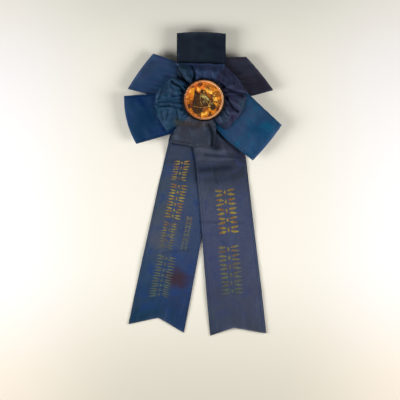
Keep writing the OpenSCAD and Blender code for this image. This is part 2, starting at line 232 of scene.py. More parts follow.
class Material:
    """A Principled material and short ways to add nodes to it."""

    def __init__(self, name, **settings):
        self.name, self.made = name, bpy.data.materials.new(name)
        self.made.use_nodes = True
        self.tree = self.made.node_tree
        self.tree.nodes.clear()
        self.settings = {key.replace("_", " "): value for key, value in settings.items()}

    def node(self, kind, inputs, output=0, **choices):
        """Adds a node with its choices, feeds its inputs, and returns one of its outputs."""
        node = self.tree.nodes.new("ShaderNode" + kind)
        for key, value in choices.items():
            setattr(node, key, value)
        for key, value in inputs.items():
            if isinstance(value, bpy.types.NodeSocket):
                self.tree.links.new(value, node.inputs[key])
            else:
                node.inputs[key].default_value = value
        return node.outputs[output] if node.outputs else None

    def paint(self, share, colour, kind="MIX"):
        """Lays a colour over the material's own by that share."""
        self.colour = self.mix(share, self.colour, colour, kind)

    def finish(self, rough, normal=None, **more):
        """Makes the shader, with that roughness and normal, and keeps the material under its name."""
        inputs = {**self.settings, "Base Color": self.colour, "Roughness": rough, **more}
        if normal is not None:
            inputs["Normal"] = normal
        self.node("OutputMaterial", {"Surface": self.node("BsdfPrincipled", inputs)})
        FINISH[self.name] = self.made

    def uv(self):
        return self.node("UVMap", {}, uv_map="ribbon")

    def place(self):
        return self.node("TexCoord", {}, "Object")

    def value(self, name):
        """A value that the piece's points carry."""
        return self.node("Attribute", {}, "Fac", attribute_name=name)

    def axis(self, vector, which):
        return self.node("SeparateXYZ", {0: vector}, which)

    def scaled(self, vector, scale, turn=0.0):
        return self.node("Mapping", {"Vector": vector, "Scale": scale, "Rotation": (0, 0, turn)})

    def noise(self, vector, scale, detail=3.0, rough=0.55, warp=0.0):
        inputs = {"Vector": vector, "Scale": scale, "Detail": detail, "Roughness": rough, "Distortion": warp}
        return self.node("TexNoise", inputs, "Fac")

    def grain(self, vector, scale, detail=3.0, rough=0.55, turn=0.0):
        """Noise with its own scale along each axis."""
        return self.noise(self.scaled(vector, scale, turn), 1, detail, rough)

    def cells(self, vector, scale, output="Distance", feature="F1"):
        return self.node("TexVoronoi", {"Vector": vector, "Scale": scale}, output, feature=feature)

    def bands(self, vector, scale, warp):
        inputs = {"Vector": vector, "Scale": scale, "Distortion": warp}
        return self.node("TexWave", inputs, "Fac", bands_direction="Y")

    def span(self, value, low, high, start=0.0, end=1.0):
        """Maps low..high smoothly to start..end."""
        inputs = dict(enumerate((value, low, high, start, end)))
        return self.node("MapRange", inputs, interpolation_type="SMOOTHSTEP")

    def math(self, kind, a, b=0.0):
        return self.node("Math", {0: a, 1: b}, operation=kind)

    def plus(self, a, b):
        return self.math("ADD", a, b)

    def minus(self, a, b):
        return self.math("SUBTRACT", a, b)

    def times(self, a, b):
        return self.math("MULTIPLY", a, b)

    def mix(self, share, a, b, kind="MIX"):
        return self.node("Mix", {0: share, 6: a, 7: b}, 2, data_type="RGBA", blend_type=kind)

    def bump(self, height, strength, depth, under=None):
        inputs = {"Height": height, "Strength": strength, "Distance": depth}
        return self.node("Bump", inputs if under is None else {**inputs, "Normal": under})


def along_ribbon(m, uv, broad, tones):
    """Two sides' colours from tones of (distance from the bend in millimetres, left colour, right colour)."""
    low, high = tones[0][0], tones[-1][0]
    wander = m.times(m.minus(broad, 0.5), 0.05)
    share = m.math("DIVIDE", m.minus(m.plus(m.axis(uv, 1), wander), low * MM), (high - low) * MM)
    sides = []
    for side in (1, 2):
        shown = m.node("ValToRGB", {0: share})
        shown.node.color_ramp.interpolation = "EASE"
        stops = shown.node.color_ramp.elements
        for i, tone in enumerate(tones):
            at = (tone[0] - low) / (high - low)
            stop = stops[i] if i < 2 else stops.new(at)
            stop.position, stop.color = at, rgb(*tone[side])
        sides.append(shown)
    across = m.plus(m.axis(uv, 0), m.times(wander, 0.5))
    return m.mix(m.span(across, -14 * MM, 14 * MM), *sides)


def satin(name, base, faded, tint, patch_colour=None, tones=None, stain=None):
    """Aged satin: mottled fading, fine weft ribs, a tight selvedge, and paler folds and ridges, partly wear
    and partly painted highlight. The points' shade marks painted shade in creases, pits and beside
    overlapping ribbon, and patch marks where patch_colour shows. stain is (place, size, ink)."""
    base, faded = rgb(*base), rgb(*faded)
    m = Material(
        name, Sheen_Weight=0.04, Sheen_Roughness=0.4, Sheen_Tint=(0.5, 0.65, 1.0, 1), Anisotropic=0.4,
        Specular_IOR_Level=0.3, Specular_Tint=(0.35, 0.6, 1.0, 1),
    )
    uv = m.uv()
    broad = m.noise(uv, 38, 2.5, 0.5, 0.3)
    patch = m.noise(uv, 120, 4, 0.62, 0.6)
    streak = m.grain(uv, (320, 26, 1))
    rib = m.grain(uv, (240, 3300, 1), 2, 0.5)
    warp = m.grain(uv, (2600, 160, 1), 2, 0.5)
    pale, deep, dark = lit(faded, 1.7, 0.01), lit(base, 0.4), lit(base, 0.12)
    m.colour = along_ribbon(m, uv, broad, tones) if tones else base
    m.paint(m.span(broad, 0.4, 0.7, 0, 0.3) if tones else m.span(broad, 0.32, 0.68), faded)
    m.paint(m.times(m.span(patch, 0.46, 0.72), 0.6 if tones else 0.75), rgb(*tint))
    m.paint(m.span(streak, 0.5, 0.8, 0, 0.22), pale)
    m.paint(m.span(rib, 0.3, 0.7, 0.25, 0), deep)
    edge = m.value("edge")
    seam = m.times(m.span(edge, 1.0, 1.5), m.span(edge, 1.6, 2.1, 1, 0))
    m.paint(m.times(seam, 0.5), deep)
    m.paint(m.span(edge, 0.1, 1.0, 0.6, 0), deep)
    if patch_colour:
        m.paint(m.times(m.value("patch"), m.span(patch, 0.3, 0.6, 0.5, 1.0)), rgb(*patch_colour))
    # crease: paler folds and ridges, partly wear and partly painted highlight
    m.paint(m.times(m.value("crease"), m.span(patch, 0.3, 0.6, 0.25, 0.9)), pale)
    # shade: painted shade, darkening the satin in creases, pits and beside overlapping ribbon
    m.paint(m.times(m.value("shade"), m.span(patch, 0.3, 0.7, 1.0, 0.8)), dark)
    if stain:
        (x, y), size, ink = stain
        gap = m.node("VectorMath", {0: uv, 1: (x * MM, y * MM, 0)}, "Value", operation="DISTANCE")
        reach = m.plus(gap, m.times(m.minus(patch, 0.5), size * MM))
        m.paint(m.span(reach, 0.2 * size * MM, size * MM, 0.9, 0), rgb(*ink))
    lint = m.cells(m.scaled(uv, (1, 0.35, 1), 0.6), 420)
    m.paint(m.span(lint, 0.02, 0.06, 0.25, 0), rgb(80, 88, 104))
    dull = m.times(m.value("shade"), 0.5)
    ribs = m.bump(m.plus(rib, m.times(warp, 0.6)), 0.35, 0.00012)
    rumple = m.bump(m.noise(uv, 260, 4, 0.6, 0.8), 0.35, 0.0006, ribs)
    m.finish(m.plus(m.span(patch, 0.25, 0.75, 0.32, 0.5), dull), m.bump(seam, 0.5, 0.0002, rumple))


SATINS = {  # main colour, faded colour, tint, and the colour of patches
    "satin_top_loop": [(24, 30, 41), (30, 35, 44), (22, 36, 40)],
    "satin_plum_loop": [(38, 34, 46), (42, 42, 54), (50, 34, 38)],
    "satin_teal_loop": [(10, 62, 98), (46, 66, 98), (0, 82, 114)],
    "satin_blue_loops": [(0, 32, 78), (14, 44, 76), (0, 44, 66)],
    "satin_faded_loop": [(34, 60, 94), (46, 64, 90), (50, 52, 96)],
    "satin_inner_loops": [(28, 44, 78), (46, 54, 84), (20, 50, 72), (20, 40, 48)],
    "satin_inner_left": [(18, 50, 76), (38, 62, 88), (14, 60, 74), (58, 58, 44)],
    "satin_inner_right": [(36, 38, 62), (46, 48, 70), (48, 34, 66), (30, 58, 66)],
    "satin_inner_bottom": [(50, 52, 64), (58, 59, 68), (44, 50, 60), (62, 50, 44)],
}
# colours along each streamer, as (distance from the bend, left side, right side): mostly fading, but the
# darker stops near the bend are painted shade, beside the right streamer's edge on the left one and below the
# knot on the right one
LEFT_TONES = [
    (-30, (60, 63, 80), (66, 70, 88)), (0, (56, 64, 82), (46, 52, 68)), (20, (64, 74, 88), (64, 76, 104)),
    (55, (76, 83, 98), (56, 70, 102)), (80, (46, 67, 95), (42, 61, 104)), (100, (30, 56, 86), (36, 52, 88)),
    (122, (12, 50, 72), (20, 50, 84)),
]
RIGHT_TONES = [
    (-30, (60, 62, 78), (42, 46, 56)), (-6, (62, 65, 80), (46, 46, 62)), (4, (46, 51, 62), (46, 48, 60)),
    (20, (70, 77, 94), (62, 67, 86)), (40, (72, 78, 103), (68, 75, 102)), (70, (66, 72, 103), (68, 74, 98)),
    (100, (60, 65, 84), (66, 68, 88)), (125, (58, 66, 84), (60, 63, 74)),
]


def satins():
    for name, colours in SATINS.items():
        satin(name, *colours)
    stain = ((7.2, 84.5), 11.5, (58, 36, 38))
    satin("satin_left_tail", (36, 52, 82), (66, 74, 90), (22, 52, 114), tones=LEFT_TONES, stain=stain)
    satin("satin_right_tail", (46, 52, 74), (74, 78, 92), (50, 58, 100), tones=RIGHT_TONES)


def stamped_foil():
    """Gilt that has flaked, and has gone green where faded is high."""
    m = Material("stamped_foil", Metallic=0.75)
    uv = m.uv()
    flake = m.grain(uv, (900, 900, 1), 4, 0.65)
    patchy = m.span(m.noise(uv, 210, 3), 0.4, 0.62)
    bright = m.mix(patchy, rgb(176, 156, 68), rgb(150, 100, 56))
    m.colour = m.mix(m.value("faded"), bright, m.mix(patchy, rgb(88, 112, 96), rgb(90, 98, 88)))
    m.paint(m.span(flake, 0.5, 0.64, 0, 0.8), rgb(48, 54, 62))
    m.finish(m.span(flake, 0.3, 0.7, 0.35, 0.6), m.bump(flake, 0.5, 0.00015))


def thread():
    m = Material("thread", Sheen_Weight=0.3)
    turn = m.bands(m.scaled(m.place(), (1, 1, 1.4), 0.7), 2600, 0.6)
    m.colour = m.mix(turn, rgb(34, 40, 66), rgb(70, 78, 106))
    m.finish(0.8, m.bump(turn, 0.6, 0.0002))


def clear_cover():
    m = Material("lens", Transmission_Weight=1.0, IOR=1.42)
    haze = m.span(m.noise(m.place(), 170, 4, 0.6), 0.4, 0.7)
    m.colour = m.mix(haze, (1.0, 0.97, 0.9, 1), (0.97, 0.9, 0.76, 1))
    m.finish(m.span(m.noise(m.place(), 900, 5, 0.7), 0.45, 0.8, 0.015, 0.1))


def dark_rim():
    """Dark lacquer, chipped to bare metal along its top."""
    m = Material("rim", Specular_IOR_Level=0.1)
    place = m.place()
    chips = m.noise(place, 700, 4, 0.6)
    high = m.span(m.axis(place, 2), RIM[1].z - 0.5 * MM, RIM[1].z)
    bare = m.times(high, m.span(chips, 0.66, 0.76))
    m.colour = m.mix(bare, m.mix(chips, rgb(14, 5, 4), rgb(28, 11, 8)), rgb(96, 58, 34))
    m.finish(m.span(chips, 0.2, 0.8, 0.3, 0.5), m.bump(chips, 0.12, 0.0002), Metallic=bare)


def picture_foil():
    """Crinkled amber foil. The points' pale marks its painted glints, and ring its plain edge, which is
    painted lighter to the right as a painted reflection and dark at its outer edge as painted shade under the
    rim.
    """
    m = Material("picture_foil", Specular_IOR_Level=0.25)
    place = m.place()
    x, y = m.axis(place, 0), m.axis(place, 1)
    warm = m.noise(place, 150, 3, 0.6, 0.5)
    north = m.span(y, HUB[1] - 9 * MM, HUB[1] + 12 * MM)
    m.colour = m.mix(m.span(warm, 0.35, 0.66), rgb(138, 62, 0), rgb(204, 134, 2))
    top_tint = m.mix(m.span(x, HUB[0] - 3 * MM, HUB[0] + 6 * MM), rgb(214, 92, 0), rgb(218, 148, 24))
    m.paint(m.times(north, 0.45), top_tint)
    shard = m.cells(place, 330, "Color")
    m.paint(m.span(m.axis(shard, 0), 0.8, 0.97, 0, 0.6), rgb(236, 176, 44))
    m.paint(m.span(m.axis(shard, 1), 0.5, 0.85, 0, 0.85), rgb(66, 24, 0))
    # painted glints: pale highlights laid on where the points' pale says
    glint = m.times(m.value("pale"), m.span(m.axis(shard, 2), 0.2, 0.8, 0.35, 1.1))
    m.paint(m.span(glint, 0.1, 1.0), rgb(255, 216, 124))
    m.paint(1.0, (0.82, 0.69, 0.36, 1), "MULTIPLY")
    ring = m.value("ring")
    # the lip of the foil, painted lighter to the right as a painted reflection
    lip = m.mix(m.span(x, HUB[0] - 12 * MM, HUB[0] + 12 * MM), rgb(184, 104, 52), rgb(214, 160, 118))
    m.paint(m.span(ring, 0, 0.5), lip)
    # painted shade: the outer edge of the lip darkened where the rim overhangs it
    m.paint(m.span(ring, 0.6, 0.85), rgb(30, 12, 6))
    metal = m.span(ring, 0, 0.5, 0.4, 0)
    rough = m.plus(m.span(warm, 0.3, 0.7, 0.36, 0.5), m.span(ring, 0, 0.5, 0, 0.4))
    folds = m.cells(m.scaled(place, (1, 1, 0.2), 0.4), 520, feature="DISTANCE_TO_EDGE")
    smooth = m.span(ring, 0, 0.4, 1, 0)
    under = m.bump(m.times(warm, smooth), 0.5, 0.001)
    crumpled = m.bump(m.times(m.span(folds, 0.0, 0.12), smooth), 0.5, 0.0002, under)
    m.finish(rough, crumpled, Metallic=metal)


def picture_print():
    """The dark horse. The points' shine marks its pale cheek, and dark its lines."""
    m = Material("picture_print", Specular_IOR_Level=0.12)
    hair = m.grain(m.place(), (900, 2600, 900), 4, 0.6, 0.7)
    m.colour = m.mix(m.span(hair, 0.35, 0.7), rgb(26, 10, 2), rgb(70, 42, 12))
    m.paint(m.times(m.value("shine"), m.span(hair, 0.2, 0.5, 0.6, 1.0)), rgb(180, 176, 112))
    m.paint(m.value("dark"), rgb(12, 4, 2))
    m.finish(m.span(hair, 0.3, 0.7, 0.45, 0.65), m.bump(hair, 0.3, 0.0001))


def bridle_gilt():
    m = Material("bridle_gilt", Metallic=0.7)
    wear = m.noise(m.place(), 1400, 3)
    m.colour = m.mix(m.span(wear, 0.4, 0.65), rgb(196, 150, 66), rgb(96, 56, 24))
    m.finish(m.span(wear, 0.3, 0.7, 0.3, 0.5))


def cup_metal():
    m = Material("cup_metal", Metallic=1.0)
    place = m.place()
    spot = m.noise(place, 380, 4, 0.65)
    drawn = m.grain(place, (300, 300, 5200), 2)
    m.colour = m.mix(m.span(spot, 0.42, 0.68), rgb(182, 150, 88), rgb(112, 84, 50))
    m.finish(m.span(spot, 0.3, 0.7, 0.3, 0.55), m.bump(drawn, 0.2, 0.0001))


def card():
    """Old card: fibres, yellowing and brown spots."""
    m = Material("card", Specular_IOR_Level=0.25)
    place = m.place()
    fibre = m.grain(place, (500, 1500, 700), 5, 0.7, 0.5)
    age = m.span(m.noise(place, 70, 4, 0.6, 0.4), 0.35, 0.68)
    spot = m.noise(place, 420, 2)
    m.colour = m.mix(age, rgb(222, 210, 182), rgb(198, 178, 140))
    m.paint(m.span(fibre, 0.5, 0.8, 0, 0.35), rgb(168, 148, 112))
    m.paint(m.span(spot, 0.68, 0.78, 0, 0.6), rgb(142, 108, 70))
    m.finish(m.span(fibre, 0.3, 0.7, 0.82, 0.95), m.bump(fibre, 0.35, 0.0002))


def pin_metal():
    m = Material("pin_metal", Metallic=1.0)
    place = m.place()
    drawn = m.grain(place, (420, 5200, 5200))
    tarnish = m.noise(place, 260, 4, 0.62, 0.3)
    m.colour = m.mix(m.span(tarnish, 0.45, 0.72), rgb(202, 200, 194), rgb(136, 124, 100))
    rough = m.plus(m.span(tarnish, 0.3, 0.7, 0.2, 0.4), m.times(drawn, 0.1))
    m.finish(rough, m.bump(drawn, 0.15, 0.0001))


def staple_wire():
    m = Material("staple_wire", Metallic=1.0)
    place = m.place()
    drawn = m.grain(place, (300, 6000, 6000), 2)
    rust = m.span(m.noise(place, 600, 4), 0.52, 0.7)
    m.colour = m.mix(rust, rgb(178, 178, 176), rgb(122, 78, 48))
    m.finish(m.span(drawn, 0.3, 0.7, 0.25, 0.42), m.bump(drawn, 0.2, 0.0001))


for make in (
    satins, stamped_foil, thread, clear_cover, dark_rim, picture_foil, picture_print, card, bridle_gilt,
    cup_metal, pin_metal, staple_wire,
):
    make()


def dress(piece, slot, finish=None):
    """Gives a piece a finish: its slot's own, unless another is named."""
    piece.data.materials.append(FINISH[finish or slot])


def settle(piece, slot, node, finish=None):
    """Dresses a piece and puts it on the rosette in place of its CAD node."""
    dress(piece, slot, finish)
    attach(piece, "rosette")
    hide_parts(node)


# ---------- loops ----------

RIBBON = 37.0  # width of the loops' ribbon


def loop_rows(out, turns, columns):
    """A loop's tube, from its root along the bottom, round the fold and back along the top: t from root to
    fold, s from -1 to 1 across, and the angle round the fold, from -90 degrees below to 90 above."""
    turn = np.linspace(-np.pi / 2, np.pi / 2, turns)[1:-1]
    path = np.concatenate([out, np.ones(len(turn)), out[::-1]])
    angle = np.concatenate([np.full(len(out), -np.pi / 2), turn, np.full(len(out), np.pi / 2)])
    side = np.linspace(-1, 1, columns)
    t, s = np.meshgrid(path, side, indexing="ij")
    return t, s, np.meshgrid(angle, side, indexing="ij")[0]


def facing(fold_a, fold_b):
    """The directions away from the button and along the fold."""
    across = unit(fold_b - fold_a)
    outward = np.array([across[1], -across[0]])
    return (-outward if outward @ (fold_a + fold_b) < 0 else outward), across


def loop_piece(name, grid, t, s, angle, length, shift, values, slot, finish):
    """Turns a loop's grid into its piece. shift moves the satin's pattern, so that no two loops match."""
    v = np.where(angle < 0, t, 2 - t) * length
    uv = np.stack([s * RIBBON / 2 * MM + shift[0], v * MM + shift[1]], -1)
    piece = cloth(name + "_satin", grid, uv, values)
    settle(piece, slot, name, finish)


# ---------- outer loops ----------

LOOP_H = top_of("outer_loop_top") - foot_of("outer_loop_top")
NECK = 7.0  # from the button's middle to where the gather starts
NECK_HALF = 4.5  # half of the gathered width


def side_line(neck, shoulder, fold, t):
    """A side of a loop: curved from the neck to the shoulder at t = 0.5, then straight to the fold."""
    reach = np.linalg.norm(shoulder - neck)
    pull = shoulder - unit(fold - shoulder) * 0.55 * reach
    a = np.clip(t * 2, 0, 1)[..., None]
    curve = (1 - a) ** 2 * neck + 2 * a * (1 - a) * pull + a**2 * shoulder
    b = np.clip(t * 2 - 1, 0, 1)[..., None]
    return np.where(t[..., None] < 0.5, curve, shoulder + (fold - shoulder) * b)


def pleats(s, count, seed, drift, reach, keep, rim=15.0):
    """Rounded ridges with sharp valleys, from 0 to 1 high, across s from -1 to 1.
    Past the rim each one fades over its own length to its own share of its height, within keep."""
    rng = np.random.default_rng(seed)
    knots = np.sort(np.linspace(-1, 1, count + 1) + rng.uniform(-0.42, 0.42, count + 1) / count)
    tall = rng.uniform(0.25, 1.0, count + 2)
    kept = rng.uniform(*keep, count + 2)
    fade = rng.uniform(4, 13, count + 2)
    phase = np.interp(s + drift, knots, np.arange(count + 1), left=-0.4, right=count + 0.4)
    low = np.clip(np.floor(phase).astype(int) + 1, 0, count + 1)
    share = 1 - (1 - kept[low]) * ease((reach - rim) / fade[low])
    wave = np.abs(np.sin(np.pi * phase))
    return (0.45 * wave + 0.55 * wave**2) * tall[low] * share


def outer_loop(side, corners, bow, seed, slot, sag, swell=0.35, finish=None):
    """A flattened tube of one ply. corners are the fold's two ends, then the shoulders on the way back.
    bow is how far the fold curves out, sag how far its two ends hang down, and swell how much it waves."""
    name = "outer_loop_" + side
    fold_a, fold_b, shoulder_b, shoulder_a = (np.array(p, float) for p in corners)
    outward, across = facing(fold_a, fold_b)
    neck_a, neck_b = outward * NECK - across * NECK_HALF, outward * NECK + across * NECK_HALF
    foot = foot_of(name)
    out = np.concatenate([np.linspace(0, 0.9, 34)[:-1], np.linspace(0.9, 1, 12)])
    t, s, angle = loop_rows(out, 11, 61)

    w = ((s + 1) / 2)[..., None]
    plan = side_line(neck_a, shoulder_a, fold_a, t) * (1 - w) + side_line(neck_b, shoulder_b, fold_b, t) * w
    plan = plan + outward * (bow * (1 - s**2) * ease(t * 1.6 - 0.6))[..., None]

    crease = 0.42 + 0.1 * np.sin(3 * s + seed)  # half thickness at the fold
    half = crease + (LOOP_H / 2 - CLOTH / 2 - crease) * ease((1 - t) / 0.28)
    half = half * (1 - 0.55 * ease((0.2 - t) / 0.2))
    plan = plan + outward * ((np.cos(angle) - 1) * crease)[..., None]
    x, y = plan[..., 0], plan[..., 1]
    reach = np.linalg.norm(plan, axis=-1)
    lift = swell * ripple(seed, 26)(x, y) * ease((t - 0.45) / 0.4)
    drop = (sag[0] * (1 - s) / 2 + sag[1] * (1 + s) / 2) * ease((reach - 26) / 34)
    fan = pleats(s, 7, seed, 0.06 * np.sin(5 * t + seed), reach, (0.0, 0.35), 22) - 0.35
    fan = fan * ease((0.95 - t) / 0.5)
    rumple = ripple(seed + 50, 9)(x, y) * 0.10 * ease((t - 0.3) / 0.3)
    upper = np.sin(angle)
    room = np.where(upper > 0, 0.75, 0.45)  # how tall the pleats are above and below
    z = foot + LOOP_H / 2 + half * upper + lift - drop + room * fan * np.abs(upper) + rumple * (upper > 0.5)
    z = np.where((reach < 25) & (upper > 0), np.minimum(z, foot + LOOP_H - 0.08), z)
    z = np.where(t < 0.55, np.maximum(z, foot + CLOTH / 2 + 0.02), z)

    length = np.linalg.norm((fold_a + fold_b) / 2)
    # crease: a paler strip along the fold, partly wear and partly painted highlight
    values = {"edge": (1 - np.abs(s)) * 18.0, "crease": np.exp(-((1 - t) * length) / 1.1)}
    grid, shift = np.concatenate([plan, z[..., None]], -1), (seed * 0.11, seed * 0.07)
    loop_piece(name, grid, t, s, angle, length, shift, values, slot, finish)


TOP = [[-19.7, 48.7], [15.9, 48.3], [15.9, 26], [-19.7, 26]]
UPPER_RIGHT = [[30.5, 31.8], [50.4, 7.5], [34.1, 3.1], [14, 31.4]]
LOWER_RIGHT = [[56.6, -18.1], [35.5, -43.8], [19.9, -31.6], [34.1, 3.1]]
LOWER_LEFT = [[-49.1, -31.8], [-58, 3.1], [-37.6, 4.5], [-26.1, -25.2]]
UPPER_LEFT = [[-55.3, 8.4], [-36.7, 34.1], [-20.4, 28.3], [-37.6, 3.6]]
outer_loop("top", TOP, 1.0, 11, "satin_top_loop", (0.6, 0.2))
outer_loop("upper_right", UPPER_RIGHT, 0.6, 12, "satin_plum_loop", (0.4, 1.4))
outer_loop("lower_right", LOWER_RIGHT, 0.8, 13, "satin_teal_loop", (0.8, 2.4), 0.6)
outer_loop("lower_left", LOWER_LEFT, 2.6, 14, "satin_blue_loops", (2.6, 1.0), 0.6)
outer_loop("upper_left", UPPER_LEFT, 0.8, 15, "satin_blue_loops", (1.0, 0.4), finish="satin_faded_loop")


# ---------- inner loops ----------

ROOT = 9.0  # from the button's middle to where an inner loop starts, hidden under the rim
INNER_FOOT = foot_of("inner_loop_top") + 0.15
UNDER_RIM = [(ROOT, 15.2), (12, 16.0), (15.5, 16.6)]  # distance from the middle, and a loop's height there


def inner_loop(
    side, fold_a, fold_b, headings, bow, seed, count, crest, finish, belly, keep, valleys, ridges, patches=()
):
    """A gathered, puffed loop that comes out from under the button's rim and folds back beneath itself.
    headings are its root's, in degrees, at fold_a's and fold_b's sides. bow is how far its fold curves out,
    and belly how far its sides do. It has count pleats, which keep a share of their height within keep.
    valleys, ridges and patches are strokes on its top: sunk and painted with shade, raised and painted with
    highlight, and coloured."""
    name = "inner_loop_" + side
    fold_a, fold_b = np.array(fold_a, float), np.array(fold_b, float)
    outward, across = facing(fold_a, fold_b)
    out = np.concatenate([np.linspace(0, 0.84, 44)[:-1], np.linspace(0.84, 1, 16)])
    t, s, angle = loop_rows(out, 15, 105)

    w = (s + 1) / 2
    heading = np.radians(headings[0] + (headings[1] - headings[0]) * w)
    root = ROOT * np.stack([np.cos(heading), np.sin(heading)], -1)
    wavy = ripple(seed, 15)(s * 17, np.zeros_like(s) + seed)
    fold = fold_a + (fold_b - fold_a) * w[..., None]
    fold = fold + outward * (bow * (1 - s**2) + 0.5 * wavy)[..., None]
    plan = root + (fold - root) * t[..., None]
    plan = plan + across * (belly * s * np.sin(np.pi * t**0.8))[..., None]
    x, y = plan[..., 0], plan[..., 1]
    reach = np.linalg.norm(plan, axis=-1)
    far = np.linalg.norm(fold, axis=-1)

    drift = 0.09 * np.sin(2.6 * t + seed) + 0.05 * np.sin(6 * t + 2 * seed)
    drift = drift + 0.11 * ripple(seed + 3, 14)(x, y) * ease((reach - 13) / 8)
    fan = pleats(s, count, seed, drift, reach, keep)
    tip = 1.15 + 0.3 * wavy  # half thickness at the fold
    profile = UNDER_RIM + [(18.5, crest - 0.2), (23, crest + 0.2), (28, crest - 0.3), (36, crest - 1.2)]
    top_line = np.interp(reach, *zip(*profile))
    close = ease((far - reach) / 6.0)
    fold_mid = INNER_FOOT + 0.1 + tip
    top_z = (fold_mid + tip) + (top_line - fold_mid - tip) * close
    top_z = top_z + (1.8 * fan - 0.7) * ease((reach - ROOT) / 4) * (0.3 + 0.7 * close)
    low_z = INNER_FOOT + 0.7 * fan * (1 - t) + 0.1
    top_z = top_z + 0.5 * ripple(seed + 5, 19)(x, y) * ease((reach - 16) / 5) * close
    flank = 1 - 0.5 * np.abs(s) ** 6
    top_z = INNER_FOOT + 0.5 + (top_z - INNER_FOOT - 0.5) * flank
    sunk, raised = strokes(plan, valleys), strokes(plan, ridges)
    top_z = top_z + (0.8 * raised - 1.5 * sunk) * ease((far - reach) / 3.0)
    top_z = top_z + 0.12 * ripple(seed + 9, 5)(x, y) * ease((reach - 15) / 4) * close
    top_z = np.where(reach < 15.9, np.minimum(top_z, 17.15), top_z)
    top_z = np.maximum(top_z, low_z + CLOTH * 1.7)
    upper = np.sin(angle)
    half = (top_z - low_z) / 2
    z = low_z + half * (1 + upper)
    back = np.where(np.abs(upper) < 0.999, 1 - np.cos(angle), ease((t - 0.9) / 0.1))
    plan = plan - outward * (half * 0.8 * back)[..., None]
    grid = np.concatenate([plan, z[..., None]], -1)

    length = np.linalg.norm((fold_a + fold_b) / 2)
    above = ease(upper * 2 - 0.4)
    # paler as wear at the fold, and as painted highlight on the pleats' ridges and the ridge strokes
    wear_and_highlight = 0.3 * ease(fan * 1.8 - 0.4) * ease((reach - 14) / 4) + 0.9 * raised
    wear_and_highlight = np.exp(-((1 - t) * length) / 1.6) * 0.08 + wear_and_highlight * above
    # painted shade in the pleats' valleys
    valley_shade = 0.4 * ease(0.5 - 1.6 * fan) * ease((reach - 13) / 3) * close
    values = {"edge": (1 - np.abs(s)) * 17.0, "crease": np.minimum(wear_and_highlight, 1)}
    # shade: painted shade in the valley strokes and the pleats' valleys
    values["shade"] = np.maximum(sunk, valley_shade) * above
    values["patch"] = strokes(plan, patches) * above
    around = np.linalg.norm(np.diff(grid, axis=0), axis=2).sum(0).mean()
    wide = np.linalg.norm(np.diff(grid[len(out) + 6], axis=0), axis=1).sum()
    flat, shift = (round(wide * 1.02 * MM, 4), round(around * MM, 4)), (seed * 0.09, seed * 0.05)
    loop_piece(name, grid, t, s, angle, length, shift, values, "satin_inner_loops", finish)


inner_loop(
    "top", (15.2, 26.0), (-20.4, 27.0), (52, 126), 0.3, 21, 4,
    17.6, "satin_inner_loops", 2.2, (0.0, 0.25),
    [([(-9, 25.5), (-7.5, 22), (-6.6, 18), (-7.1, 14.5)], 0.9, 1.0), ([(7, 25), (10, 17)], 1.0, 0.35)],
    [
        ([(-4.6, 24), (-4.6, 15)], 1.0, 0.5), ([(1.5, 24), (1, 15)], 1.0, 0.35),
        ([(-16, 17), (-13, 14)], 1.0, 0.6),
    ],
    [([(-18, 26), (-14, 20), (-11, 17)], 6, 0.95)],
)
inner_loop(
    "upper_right", (31.8, 4.8), (15.0, 25.6), (22, 66), 1.2, 22, 4,
    18.0, "satin_inner_right", 2.0, (0.0, 0.3),
    [
        ([(12, 11.5), (16, 8.2), (21, 6.2), (26, 4.4), (30, 3.4)], 1.0, 1.0),
        ([(21, 19.5), (21.6, 12)], 0.8, 0.6), ([(24.2, 19), (24.6, 13)], 0.7, 0.5),
        ([(14.5, 21), (14, 15)], 1.2, 0.5),
    ],
    [([(16, 20.5), (21.5, 14.5)], 1.1, 0.4), ([(17, 11.5), (27, 8)], 1.4, 0.3)],
)
inner_loop(
    "right", (15.5, -21.5), (31.9, 3.0), (-56, 22), 2.6, 23, 5,
    17.8, "satin_inner_right", 2.0, (0.0, 0.3),
    [
        ([(16, 2), (19, -3), (22, -6.5), (25, -8.6)], 0.8, 1.0),
        ([(32, -6.6), (29, -10), (27.4, -14.2)], 0.9, 1.0), ([(12.5, 11), (20, 6.4), (28, 3)], 0.9, 0.8),
        ([(20.6, -12.5), (20.8, -16), (24, -17), (26.4, -15)], 1.2, 0.5),
    ],
    [
        ([(18.5, 0.5), (25, -4.5)], 1.3, 0.5), ([(19.5, -8.5), (25, -11)], 0.9, 0.6),
        ([(14.5, -12), (18, -17)], 1.2, 0.3),
    ],
    [([(28, -3), (30.5, -6)], 2.6, 0.9), ([(14, -8), (15, -15)], 2.5, 0.5)],
)
inner_loop(
    "bottom", (-24.6, -30.6), (7.4, -34.6), (222, 294), 0.6, 24, 4,
    17.0, "satin_inner_bottom", 3.4, (0.0, 0.1),
    [
        ([(3.6, -18), (5.4, -22), (6.3, -26), (6.2, -30), (5.8, -34)], 1.6, 1.0),
        ([(-22, -29.8), (-10, -31.8)], 0.7, 0.4),
    ],
    [([(-16, -24), (-4, -24)], 3.0, 0.3)],
    [([(-20, -15.5), (-8, -17.8), (4, -17.5)], 2.0, 1.0)],
)
inner_loop(
    "lower_left", (-35.4, -3.0), (-27.0, -23.0), (180, 234), 1.8, 25, 4,
    18.0, "satin_inner_left", 1.6, (0.0, 0.35),
    [
        ([(-33, -4.6), (-25, -4.0), (-16, -6.6)], 0.8, 0.6), ([(-19.8, -7.5), (-19, -14)], 0.7, 0.6),
        ([(-26, -7.5), (-27.2, -14)], 0.7, 0.5), ([(-31, -8), (-30, -15)], 0.8, 0.4),
    ],
    [
        ([(-31, -5.9), (-23, -5.6)], 0.6, 0.6), ([(-24, -7), (-24.6, -13)], 0.9, 0.5),
        ([(-18.4, -7), (-15.2, -13)], 1.4, 0.6), ([(-28, -8), (-29, -14)], 0.8, 0.35),
    ],
    [([(-19, -16), (-14, -19)], 2.8, 1.0)],
)
